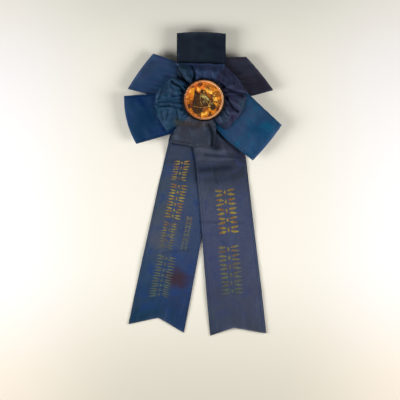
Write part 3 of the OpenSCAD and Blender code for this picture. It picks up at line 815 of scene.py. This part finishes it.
inner_loop(
    "upper_left", (-21.5, 17.0), (-36.0, -3.4), (136, 188), 3.6, 26, 5,
    18.3, "satin_inner_left", 1.4, (0.1, 0.45),
    [
        ([(-23.4, 14), (-21.5, 12), (-17.5, 10), (-15, 6)], 0.8, 1.0), ([(-22.6, 9), (-22.4, 3)], 0.8, 0.45),
        ([(-29.5, 13), (-30.5, 6), (-33, 1)], 0.9, 0.5), ([(-33, -1.6), (-25, -1.0), (-18, -3)], 0.6, 0.4),
    ],
    [
        ([(-31, 15), (-33, 8), (-34.4, 3)], 0.9, 0.8), ([(-26, 13.5), (-24.4, 8), (-25.2, 3)], 0.9, 0.55),
        ([(-21.5, 15.5), (-18, 11.6)], 0.7, 0.7), ([(-31, -3), (-24, -2.4), (-18, -4.4)], 0.7, 0.8),
        ([(-20, 8), (-18.6, 1)], 0.9, 0.35),
    ],
)


# ---------- streamers ----------

BEND_Y = -46.0  # the line where the streamers lift
HEAD = 42.0  # length of the sewn ends, above that line
HALF = 18.5  # half of a streamer's width at the bend
SPREAD = 20.4  # and at its end
LEVEL = top_of("left_tail_head") - top_of("left_tail")
land = ripple(31, 58)
fine = ripple(32, 17)


def smooth_line(y, points):
    """A smooth curve of x against y through (y, x) points, given from the top down."""
    ys, xs = np.array(points, float)[::-1].T
    slope = np.gradient(xs, ys)
    i = np.clip(np.searchsorted(ys, y) - 1, 0, len(ys) - 2)
    h = ys[i + 1] - ys[i]
    return hermite(np.clip((y - ys[i]) / h, 0, 1), xs[i], h * slope[i], xs[i + 1], h * slope[i + 1])


class Streamer:
    """One ply of ribbon. Its head runs from under the rosette to the bend line between the left and right
    lines, and its tail leans from there to a swallow-tailed end. cut is how much its end slants, and notch
    and apex are how deep the cut goes and where. creases are (distance, slant, height)."""

    def __init__(self, mid_x, lean, length, cut, notch, apex, floor, left, right, creases, arch, gather):
        self.mid = np.array([mid_x, BEND_Y])
        self.lean = math.radians(lean)
        self.way = np.array([math.sin(self.lean), -math.cos(self.lean)])
        self.length, self.cut, self.notch, self.apex, self.floor = length, cut, notch, apex, floor
        self.left, self.right, self.creases, self.arch, self.gather = left, right, creases, arch, gather

    def head(self, a, y):
        """Plan position on the head: a from -1 to 1 across, y down to the bend line."""
        x0, x1 = smooth_line(y, self.left), smooth_line(y, self.right)
        return np.stack([x0 + (x1 - x0) * (a + 1) / 2, y], -1)

    def tail(self, a, d):
        """Plan position on the tail, d along it from the bend line. The rows turn from level to square."""
        turn = self.lean * ease(d / 24)
        level_half = HALF / math.cos(self.lean)
        half = level_half + (SPREAD - level_half) * ease(d / self.length)
        late = ease((d - (self.length - 45)) / 45)
        b = (a - self.apex) / np.where(a < self.apex, 1 + self.apex, 1 - self.apex)
        along = d + late * (-self.cut * a - self.notch * (1 - np.abs(b)))
        sideways = np.stack([np.cos(turn), np.sin(turn)], -1) * (a * half)[..., None]
        return self.mid + self.way * along[..., None] + sideways

    def height(self, plan, a, d):
        """Height of the cloth's middle, with d negative on the head."""
        x, y = plan[..., 0], plan[..., 1]
        calm = ease((d - 4) / 26)
        lie = 0.55 * (land(x, y) + 1.0) + 0.10 * (fine(x, y) + 1)
        z = self.floor + LEVEL * (1 - ease((-24.5 - y) / 18.5)) + np.maximum(lie, 0) * calm
        z = z + self.arch * (1 - a**2) * calm + self.kinks(x, d) + self.gather(x, y, a)
        return np.maximum(z, CLOTH / 2 + 0.03)

    def kinks(self, x, d):
        """Soft cross creases where the streamer was folded in store."""
        total = 0
        for at, slant, tall in self.creases:
            off = d - at - slant * (x - self.mid[0])
            total = total + tall * (np.exp(-np.abs(off) / 2.2) + 0.35 * hump(off, 3, 5))
        return total

    def rows(self, d, on_head=False):
        """The middle surface over rows at the distances d from the bend line, with a and d at its points."""
        d, a = np.meshgrid(d, np.linspace(-1, 1, 65), indexing="ij")
        plan = self.head(a, BEND_Y - d) if on_head else self.tail(a, d)
        return np.concatenate([plan, self.height(plan, a, d)[..., None]], -1), a, d

    def tail_rows(self):
        return np.concatenate([np.linspace(0, 30, 31), np.linspace(30, self.length, 100)[1:]])

    def point(self, u, d):
        """A point u millimetres to the side of the middle line and d along it."""
        a, d = np.array(u / 19.4), np.array(float(d))
        p = self.tail(a, d) if d >= 0 else self.head(a, BEND_Y - d)
        return np.append(p, self.height(p, a, d))

    def surface(self, u, d):
        """The point and its normal."""
        p = self.point(u, d)
        return p, unit(np.cross(self.point(u + 0.2, d) - p, self.point(u, d - 0.2) - p))


def knot_dent(x, y):
    """The pit that the gathered knot leaves beside the bottom loop."""
    return 1.1 * np.exp(-((x - 7.5) ** 2 / 14 + (y + 35) ** 2 / 10)) * ease((y + 44) / 6)


def left_gather(x, y, a):
    show = ease((y + 40) / 12) * ease((-17 - y) / 6)
    return 0.18 * show * np.sin(9 * a + 0.4) - knot_dent(x, y)


def right_gather(x, y, a):
    show = ease((y + 43) / 16) * ease((-16.5 - y) / 5)
    folds = np.abs(np.sin(5.2 * a + 0.5)) ** 0.8
    wrinkle = 0.22 * np.sin((y + 0.12 * x) * 1.9) * hump(y, 3.2, -39.5) * ease((x + 4) / 6)
    return 1.5 * show * folds + 0.7 * show - knot_dent(x, y) + wrinkle + 0.25 * hump(y, 5, -39.5)


LEFT = Streamer(
    -10.6, -11.4, 122.8, 0.9, 8.0, 0.0, top_of("left_tail") / 2,
    [(-4, -9), (-12, -14), (-20, -21.6), (-25, -24.6), (-33, -26.4), (-40, -28.1), (-46, -29.47)],
    [(-4, 5), (-12, 7), (-20, 9), (-25, 10), (-33, 9.8), (-40, 9.2), (-46, 8.27)],
    [(-8, 0.1, 0.4), (-2, -0.1, 0.3), (24, 0.05, 0.28), (65, -0.1, 0.5), (104, 0.04, 0.35)],
    0.35, left_gather,
)
RIGHT = Streamer(
    12.6, 5.7, 125.4, -1.2, 5.2, -0.12, (top_of("right_tail") + foot_of("right_tail")) / 2,
    [(-4, -11), (-12, -10), (-17, -9.6), (-22, -9.2), (-28, -8.8), (-34, -8.2), (-40, -7.0), (-46, -5.99)],
    [(-4, 12), (-12, 13), (-17, 14.5), (-22, 18), (-28, 23.6), (-34, 27.8), (-40, 30.2), (-46, 31.19)],
    [(-7, -0.05, 0.55), (-1.5, 0.06, 0.5), (5, -0.08, 0.4), (43.5, 0.04, 0.5), (92, 0.1, 0.3)],
    0.75, right_gather,
)


def streamer_piece(name, streamer, slot, parts, shades, painted_highlights=()):
    """One ply of streamer from its parts, joined end to end, with dark strokes of painted shade and pale
    strokes of painted highlight on it.
    """
    grid, a, d = (np.concatenate(group) for group in zip(*parts))
    end = np.exp(-np.maximum(streamer.length - d, 0) / 0.8)
    values = {
        "edge": (1 - np.abs(a)) * HALF, "crease": np.maximum(0.5 * end, strokes(grid[..., :2], painted_highlights)),
        "shade": strokes(grid[..., :2], shades),
    }
    piece = cloth(name, grid, np.stack([a * 19 * MM, d * MM], -1), values)
    dress(piece, slot)
    return piece


HEAD_ROWS = np.linspace(-HEAD, 0, 64)
EDGE = np.array(-1.0)  # the right streamer's left edge, which lies on the left streamer
lap = [RIGHT.head(EDGE, np.array(float(y))) for y in (-30, -36, -42)]
lap += [RIGHT.tail(EDGE, np.array(float(d))) for d in (0, 6, 12)]
lower_lap = [RIGHT.tail(EDGE, np.array(float(d))) for d in (12, 24, 40, 56)]
# painted shade on the left streamer: the right streamer's shadow beside its left edge, the shade under the
# bottom loop's fold, and darker cross folds and corners
left_shades = [
    (lap, 2.0, 0.85), (lower_lap, 1.0, 0.6), ([(-23, -31.6), (-14, -32.6), (-7, -33.8)], 0.9, 0.9),
    ([(-24, -27.5), (-22.8, -31)], 1.2, 0.7), ([(-26, -44), (-12, -46)], 1.8, 0.3),
    ([(-56, -166), (-44, -162)], 2.8, 0.5), ([(-30, -111.4), (-10, -108.6)], 0.8, 0.4),
]
left_parts = [LEFT.rows(HEAD_ROWS, True), LEFT.rows(LEFT.tail_rows()[1:])]
left = streamer_piece("left_streamer", LEFT, "satin_left_tail", left_parts, left_shades)
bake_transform(left)
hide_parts("left_tail_head", "left_tail")

# painted shade on the right streamer: the pit beside the knot, the shadow along the lower right loop's edge,
# and the shade of its cross folds and of a fold at its tip
right_shades = [
    ([(6.8, -31.8), (7.6, -34.4), (9.8, -34.8)], 2.8, 0.9), ([(-2, -51), (8, -50), (18, -49)], 3.2, 0.75),
    ([(8, -19), (12.5, -26), (18, -31.5), (25.5, -37.5)], 1.1, 0.8), ([(6, -171), (12, -169)], 2.4, 0.6),
    ([(-2, -44.2), (12, -45), (22, -44.4)], 0.9, 0.35), ([(-2, -57), (8, -58.5), (22, -57)], 2.6, 0.35),
    ([(10, -20), (14, -27), (21, -33.4)], 0.8, 0.5), ([(1, -39.4), (14, -40.8), (26, -41.5)], 1.3, 0.6),
    ([(-2, -88.6), (29, -89.6)], 0.8, 0.35),
]
# painted highlights on the right streamer's head: pale bands beside its cross folds
painted_highlights = [
    ([(-5, -35.6), (4, -36.8), (14, -37.6)], 1.8, 0.4), ([(-3, -42.6), (10, -43.2), (20, -42.8)], 1.4, 0.3),
]
head_part, tail_part = RIGHT.rows(HEAD_ROWS, True), RIGHT.rows(RIGHT.tail_rows())
head = streamer_piece("right_streamer_head", RIGHT, "satin_right_tail", [head_part], right_shades, painted_highlights)
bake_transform(head)
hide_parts("right_tail_head")
right = streamer_piece("right_streamer", RIGHT, "satin_right_tail", [tail_part], right_shades)
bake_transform(right)
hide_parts("right_tail")


# ---------- stamped foil ----------

FOIL = 0.03  # how far the foil stands over the satin
SUNK = 0.05  # and how far its edge goes into it


def leaf(tip, foot, width):
    """Outline of a leaf from foot to tip."""
    tip, foot = np.array(tip, float), np.array(foot, float)
    side = unit([-(tip - foot)[1], (tip - foot)[0]]) * width
    at = np.linspace(0, 1, 7)
    swell = np.sin(np.pi * at**0.8)
    one = [foot + (tip - foot) * t + side * w for t, w in zip(at, swell)]
    two = [foot + (tip - foot) * t - side * w for t, w in zip(at[1:-1], swell[1:-1])]
    return one + two[::-1]


def sprig(w, l):
    """A small lozenge with two slender leaves on each side, w across and l along."""
    shapes = [[(0, l * 0.32), (w * 0.065, 0), (0, -l * 0.32), (-w * 0.065, 0)]]
    for s in (-1, 1):
        for t in (-1, 1):
            shapes.append(leaf((s * w * 0.5, t * l * 0.30), (s * w * 0.09, t * l * 0.17), l * 0.14))
    return shapes


def stamping(side, streamer, columns, start, end, *bodies):
    """Sprigs in columns of (begin, stop, shift to the side, width, pitch, how faded at each end)."""
    points, faces, uv, faded = [], [], [], []
    for begin, stop, shift, w, pitch, first, last in columns:
        for i in range(int((stop - begin) // pitch)):
            d0 = begin + (i + 0.5) * pitch
            for shape in sprig(w, pitch):
                shape = counterclockwise(np.array(shape))
                count, base = len(shape), len(points)
                fan = [(count, j, (j + 1) % count) for j in range(count)]
                faces += [tuple(base + j for j in face) for face in closed(fan, count + 1)]
                for lift in (CLOTH / 2 + FOIL, CLOTH / 2 - SUNK):
                    for x, y in [*shape, shape.mean(0)]:
                        u, d = shift + x, d0 - y
                        p, n = streamer.surface(u, d)
                        points.append(p + n * lift)
                        uv.append((u * MM, d * MM))
                        faded.append(first + (last - first) * (d - begin) / (stop - begin))
    piece = new_mesh(side + "_foil_sprigs", row(points), faces, 40, uv, {"faded": faded})
    dress(piece, "stamped_foil")
    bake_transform(piece)
    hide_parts(side + "_tail_stamping")


LEFT_SPRIGS = [
    (-2.6, 13.6, -5.6, 12.6, 4.05, 0.0, 0.3), (15.7, 42.3, -4.3, 13, 4.43, 0.0, 0.2),
    (44.4, 64.6, -4.9, 11, 4.0, 0.3, 0.9), (69.0, 104.0, -2.8, 14.4, 4.36, 0.8, 1.0),
    (37.8, 63.3, 8.1, 4.8, 3.1, 0.4, 0.9),
]
RIGHT_SPRIGS = [(18, 52, 0.6, 15.5, 6.8, 0.2, 0.0), (59.5, 97.5, -1, 16, 6.33, 0.5, 1.0)]
stamping("left", LEFT, LEFT_SPRIGS, -2, 7, "rosette", "left_tail")
stamping("right", RIGHT, RIGHT_SPRIGS, 0, 8, "left_tail", "right_tail")


# ---------- button ----------

FACE = top_of("button_foil_disc")  # top of the picture's foil
RIM_TOP = top_of("button_rim")
RIM_FOOT = foot_of("button_rim")
LENS_TOP = top_of("button_lens")
DOME = 66.0  # radius of the cover's dome


def rim_bead():
    """The rolled rim: a straight wall with a groove round it, and a rounded bead on top."""
    wall = [(14.85, 0.1), (15.0, 0), (15.42, 0), (15.5, 0.12), (15.5, 0.5), (15.38, 0.62), (15.5, 0.78)]
    profile = [(r, RIM_FOOT + z) for r, z in wall]
    for a in np.linspace(0, np.pi, 15):
        profile.append((14.94 + 0.56 * math.cos(a), RIM_TOP - 0.45 + 0.45 * math.sin(a)))
    profile += [(14.46, RIM_TOP - 0.62), (14.72, RIM_TOP - 0.8), (14.85, RIM_TOP - 1.2)]
    return lathe("button_rim_bead", profile)


def lens_dome():
    profile = [(0.0, LENS_TOP)]
    for r in np.linspace(1.0, 13.9, 24):
        profile.append((r, LENS_TOP - DOME + math.sqrt(DOME**2 - r**2)))
    edge = profile[-1][1]
    profile += [(14.2, edge - 0.45), (14.42, edge - 0.95)]
    seat = [(14.42, 0.5), (14.3, 0.32), (13.0, 0.32), (12.6, 0.58), (0.0, 0.58)]
    profile += [(r, FACE + z) for r, z in seat]
    dome = lathe("button_lens_dome", profile, 25)
    dome.visible_shadow = False
    return dome


GLINTS = [  # the foil's painted glints: x, y and size
    (-3.9, 7.8, 1.7), (2.6, 6.8, 1.9), (5.4, 5.0, 1.9), (7.9, 0.4, 1.2), (10.6, -1.6, 1.5),
    (-0.6, -10.4, 1.6), (2.0, -9.4, 1.6), (-10.0, 6.4, 1.3), (-11.4, 2.0, 1.0), (-9.4, -9.0, 1.0),
]


def foil_disc():
    """Crinkled foil behind the picture, turned up in a plain ring at its edge."""
    rng, warp = np.random.default_rng(51), ripple(52, 3.4)
    spots = rng.uniform(-15, 15, (90, 2))
    tilt = rng.normal(0, 0.17, (90, 2))
    edge = [13.0, 13.35, 13.7, 14.0, 14.3, 14.7]
    rings, steps = np.concatenate([[0.0], np.linspace(0.6, 12.7, 34), edge]), 160
    points, ring_value, pale = [], [], []
    for r in rings:
        for k in range(1 if r == 0 else steps):
            a = 2 * math.pi * k / steps
            p = np.array([r * math.cos(a), r * math.sin(a)])
            gap = np.linalg.norm(spots - p, axis=1)
            near = np.argsort(gap)[:3]
            weight = np.exp(-((gap[near] - gap[near[0]]) / 0.5))
            tilt_here = ((p - spots[near]) * tilt[near]).sum(1)
            crinkle = float((weight * tilt_here).sum() / weight.sum())
            z = FACE - 0.12 + 0.5 * crinkle * (1 if r < 12.4 else 0.3)
            z = min(max(z, FACE - 0.26), FACE + 0.12)
            rise = ease((r - 12.8) / 1.4)
            points.append((p[0], p[1], z * (1 - rise) + (FACE + 0.25) * rise))
            # ring: the lip, which the foil's finish paints lighter to the right as painted reflection and
            # dark at its outer edge as painted shade
            ring_value.append(float(np.interp(r, [12.9, 13.05, 13.35, 13.7], [0, 0.5, 0.5, 1])))
            # pale: where the foil's finish paints glints, as painted highlight
            q = p + np.array([warp(p[0], p[1]), warp(p[1] + 30, p[0])]) * 1.3
            pale.append(max(float(hump(math.hypot(q[0] - x, q[1] - y), w)) for x, y, w in GLINTS))
    top = len(points)
    points += [(x, y, FACE - 0.3) for x, y, _ in points]
    faces = []
    for j in range(steps):
        k = (j + 1) % steps
        faces.append((0, 1 + j, 1 + k))
        for a in range(1, top - steps, steps):
            faces.append((a + j, a + steps + j, a + steps + k, a + k))
    values = {"ring": ring_value * 2, "pale": pale * 2}
    return new_mesh("button_foil", row(points), closed(faces, top), 30, None, values)


settle(rim_bead(), "rim", "button_rim")
settle(lens_dome(), "lens", "button_lens")
settle(foil_disc(), "picture_foil", "button_foil_disc")


# ---------- horse ----------

HORSE = [
    (-6.6, 7.9), (-5.0, 4.6), (-2.9, 5.0), (-1.3, 8.4), (-0.6, 4.9), (1.6, 3.4), (4.2, 0.6), (7.2, -2.6),
    (8.6, -4.6), (7.9, -6.6), (5.9, -7.3), (3.9, -5.6), (1.2, -4.4), (-0.6, -5.2), (-2.2, -9.4),
    (-5.6, -9.9), (-8.3, -7.2), (-8.2, -2.4), (-7.2, 2.4),
]
POINTED = {0, 1, 3}  # the ears' tips and the notch beside the first
MOUTH = [(8.2, -6.1), (7.0, -5.9), (5.9, -5.3)]
JAW = [(-1.9, 1.6), (-2.1, -1.0), (-1.2, -3.0), (0.4, -4.0), (2.2, -3.9)]
CREST = [(-4.3, 4.6), (-5.2, 1.5), (-5.9, -2.4), (-6.2, -7.6)]
CHEEK = [(-1.2, 2.6), (1.2, 2.2), (3.0, 0.4)]


def outline(points, pointed, steps=7):
    """A closed curve through the points, sharp at the pointed ones."""
    p, n, made = np.array(points, float), len(points), []
    for i in range(n):
        a, b = p[i], p[(i + 1) % n]
        leave = (b - p[i - 1]) / 2 * (0.1 if i in pointed else 0.9)
        arrive = (p[(i + 2) % n] - a) / 2 * (0.1 if (i + 1) % n in pointed else 0.9)
        made += [hermite(t, a, leave, b, arrive) for t in np.linspace(0, 1, steps, endpoint=False)]
    return np.array(made)


def inside(p, line):
    """Whether each point is inside a closed line."""
    x, y = p[:, 0, None], p[:, 1, None]
    a, b = line, np.roll(line, -1, 0)
    cross = (a[:, 1] > y) != (b[:, 1] > y)
    at = a[:, 0] + (y - a[:, 1]) * (b[:, 0] - a[:, 0]) / np.where(b[:, 1] == a[:, 1], 1, b[:, 1] - a[:, 1])
    return (cross & (x < at)).sum(1) % 2 == 1


HORSE_LINE = outline(HORSE, POINTED)


def horse_height(p):
    """Height of the relief over the foil at points p, and how pale and how dark it is there."""
    x, y = p[:, 0], p[:, 1]

    def spot(at_x, at_y, width, middle=0.0, tall=1.0):
        return hump(np.hypot(x - at_x, (y - at_y) * tall), width, middle)

    def line(points, width):
        return hump(from_line(p, points), width)

    d = from_line(p, HORSE_LINE, True)
    lock, hairs = line(CREST, 1.1), np.sin(5.2 * (y + 0.45 * x))
    ears = spot(-1.4, 6.4, 0.35, tall=0.5) + spot(-6.2, 5.8, 0.35, tall=0.5)
    z = 0.30 * np.sqrt(np.clip(1 - (1 - np.clip(d / 1.5, 0, 1)) ** 2, 0, 1))
    z = z + 0.10 * spot(0.4, -1.7, 1.9) + 0.05 * spot(6.9, -4.9, 1.0)  # cheek and muzzle
    z = z + 0.06 * spot(1.5, 1.3, 0.7) - 0.07 * spot(1.5, 1.2, 0.16, 0.55)  # eye and its lid
    z = z - 0.12 * spot(7.7, -5.0, 0.28) - 0.10 * line(MOUTH, 0.14) - 0.08 * line(JAW, 0.25)
    z = z + 0.07 * lock * hairs - 0.08 * ears
    shine = line(CHEEK, 0.75) * 0.8 + 0.2 * spot(0.2, -1.2, 1.1) + 0.3 * spot(5.6, -2.4, 0.8)
    dark = 0.9 * spot(1.5, 1.25, 0.42) + 0.8 * spot(7.7, -5.0, 0.3) + 0.6 * line(JAW, 0.3) + 0.5 * ears
    dark = dark + 0.5 * lock * (hairs < 0) + 0.6 * line(MOUTH, 0.18) + 0.8 * hump(d, 0.4)
    return np.clip(z, 0.03, 0.46), np.clip(shine, 0, 1), np.clip(dark, 0, 1)


def horse():
    """The relief: a fine net of triangles inside the outline, raised, and closed underneath."""
    gx, gy = np.meshgrid(np.arange(-9, 9.2, 0.2), np.arange(-10.4, 8.6, 0.2))
    grid = np.stack([gx.ravel(), gy.ravel()], 1)
    grid = grid[inside(grid, HORSE_LINE)]
    grid = grid[from_line(grid, HORSE_LINE, True) > 0.1]
    everything = [Vector(p) for p in np.concatenate([HORSE_LINE, grid])]
    count = len(HORSE_LINE)
    loop = [(i, (i + 1) % count) for i in range(count)]
    verts, _, faces, _, _, _ = delaunay_2d_cdt(everything, loop, [], 1, 1e-6)
    p = np.array([tuple(v) for v in verts])
    z, shine, dark = horse_height(p)
    points = [(x, y, FACE + h) for (x, y), h in zip(p, z)] + [(x, y, FACE - 0.25) for x, y in p]
    values = {"shine": np.tile(shine, 2), "dark": np.tile(dark, 2)}
    return new_mesh("horse_head_relief", row(points), closed(faces, len(p)), 45, None, values)


BIT = (4.4, -4.5)  # middle of the bit's ring
STRAPS = [
    [(-2.2, 4.5), (-0.9, 2.9), (0.6, 0.6), (2.6, -2.0), (4.3, -4.4)],
    [(4.9, -0.1), (4.4, -1.9), (3.6, -3.7), (3.2, -5.0)],
    [(-2.2, 4.5), (-0.6, 4.2), (1.3, 3.3)],
    [(-2.4, 4.4), (-2.7, 1.6), (-2.4, -1.6), (-1.2, -4.0)],
    [(4.3, -4.5), (1.6, -5.4), (-2.6, -5.6), (-7.4, -4.4)],
    [(BIT[0] + 0.55 * math.cos(a), BIT[1] + 0.55 * math.sin(a)) for a in np.linspace(0, 2 * np.pi, 13)],
]
STRAP = [(-0.2, -0.12), (-0.17, 0.05), (0, 0.1), (0.17, 0.05), (0.2, -0.12)]  # section: across, up


def bridle():
    """Straps of the bridle: half-round strips that lie on the relief, and the ring of the bit."""
    points, faces, m = [], [], len(STRAP)
    for strap in STRAPS:
        p = np.array(strap, float)
        at = np.concatenate([[0], np.cumsum(np.linalg.norm(np.diff(p, axis=0), axis=1))])
        fine_at = np.linspace(0, at[-1], max(14, int(at[-1] / 0.25)))
        line = np.stack([np.interp(fine_at, at, p[:, k]) for k in (0, 1)], 1)
        for _ in range(2):
            line[1:-1] = (line[:-2] + 2 * line[1:-1] + line[2:]) / 4
        h = np.where(inside(line, HORSE_LINE), horse_height(line)[0], 0.02)
        way = np.gradient(line, axis=0)
        side = np.stack([-way[:, 1], way[:, 0]], 1) / np.linalg.norm(way, axis=1, keepdims=True)
        base, end = len(points), len(points) + (len(line) - 1) * m
        for q, n, z in zip(line, side, h):
            points += [(q[0] + n[0] * across, q[1] + n[1] * across, FACE + z + up) for across, up in STRAP]
        for a in range(base, end, m):
            for j in range(m):
                k = (j + 1) % m
                faces.append((a + j, a + m + j, a + m + k, a + k))
        faces += [tuple(range(base, base + m)), tuple(reversed(range(end, end + m)))]
    return new_mesh("horse_bridle", row(points), faces, 40)


settle(horse(), "picture_print", "horse_head")
straps = bridle()
dress(straps, "picture_print", "bridle_gilt")
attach(straps, "rosette")


# ---------- CAD pieces that stay ----------

for part in frame["record"]["subparts"]:
    node = frame["nodes"][part["node"]]
    if not node.hide_render:
        for holder in node.material_slots:
            holder.link = "OBJECT"
            holder.material = FINISH[part["material_slot"]]


# ---------- table, light and camera ----------


def table():
    """Pale paper: neutral to the left and right, creamier above and below the ribbon, and painted a little
    darker above and below as painted shade where the side lamps' light falls off.
    """
    m = Material("table_paper", Specular_IOR_Level=0.1)
    place = m.place()
    off = m.math("ABSOLUTE", m.axis(place, 0))
    y = m.axis(place, 1)
    low = m.times(m.span(y, -0.16, -0.05, 1, 0), m.span(y, -0.4, -0.18))
    high = m.times(m.span(y, 0.08, 0.15, 0, 0.8), m.span(y, 0.17, 0.4, 1, 0))
    ends = m.math("MAXIMUM", low, high)
    m.colour = m.mix(m.noise(place, 9, 2), (0.90, 0.865, 0.765, 1), (0.92, 0.885, 0.785, 1))
    m.paint(m.times(m.span(off, 0.06, 0.14), m.minus(1.0, ends)), (0.92, 0.89, 0.88, 1))
    # painted shade: darker and warmer below the ribbon, and darker above and below, away from the side lamps
    m.paint(low, (1.0, 0.94, 0.9, 1), "MULTIPLY")
    m.paint(m.times(ends, m.span(off, 0.05, 0.15, 1, 0)), (0.84, 0.88, 0.88, 1), "MULTIPLY")
    n = 3.0  # half its width, in metres
    plane = new_mesh("table", [(-n, -n, 0), (n, -n, 0), (n, n, 0), (-n, n, 0)], [(0, 1, 2, 3)])
    m.finish(0.9)
    plane.data.materials.append(m.made)
    plane.location.z = -0.0002  # just clear of what lies on it


def softbox(name, place, target, size, power, colour):
    light = bpy.data.lights.new(name, "AREA")
    light.shape = "RECTANGLE"
    light.size, light.size_y = size
    light.energy, light.color = power, colour
    lamp = bpy.data.objects.new(name, light)
    lamp.location = place
    lamp.rotation_euler = (Vector(target) - Vector(place)).to_track_quat("-Z", "Y").to_euler()
    bpy.context.scene.collection.objects.link(lamp)


def studio(strength):
    world = bpy.data.worlds.new("studio")
    bpy.context.scene.world = world
    world.use_nodes = True
    sky = world.node_tree.nodes["Background"]
    sky.inputs[0].default_value = (1.0, 0.985, 0.96, 1)
    sky.inputs[1].default_value = strength


def camera_above(aim, width, distance=3.0):
    """A camera that looks straight down and takes in that width, in metres."""
    lens = bpy.data.cameras.new("camera")
    lens.sensor_width = 36
    lens.lens = lens.sensor_width * distance / width
    camera = bpy.data.objects.new("camera", lens)
    camera.location = (aim[0], aim[1], distance)
    bpy.context.scene.collection.objects.link(camera)
    bpy.context.scene.camera = camera


table()
softbox("soft_left", (-0.32, -0.04, 0.29), (0, -0.02, 0), (0.20, 0.30), 1.40, (1.0, 1.0, 1.0))
softbox("soft_right", (0.32, -0.05, 0.29), (0, -0.02, 0), (0.20, 0.30), 1.32, (1.0, 0.995, 0.99))
softbox("soft_top", (0, -0.7, 0.9), (0, 0, 0), (1.0, 0.5), 0.8, (1.0, 0.96, 0.9))
studio(0.11)
camera_above(row([-2.85, -72.6, 0]), 0.292)
bpy.context.scene.view_settings.view_transform = "Standard"
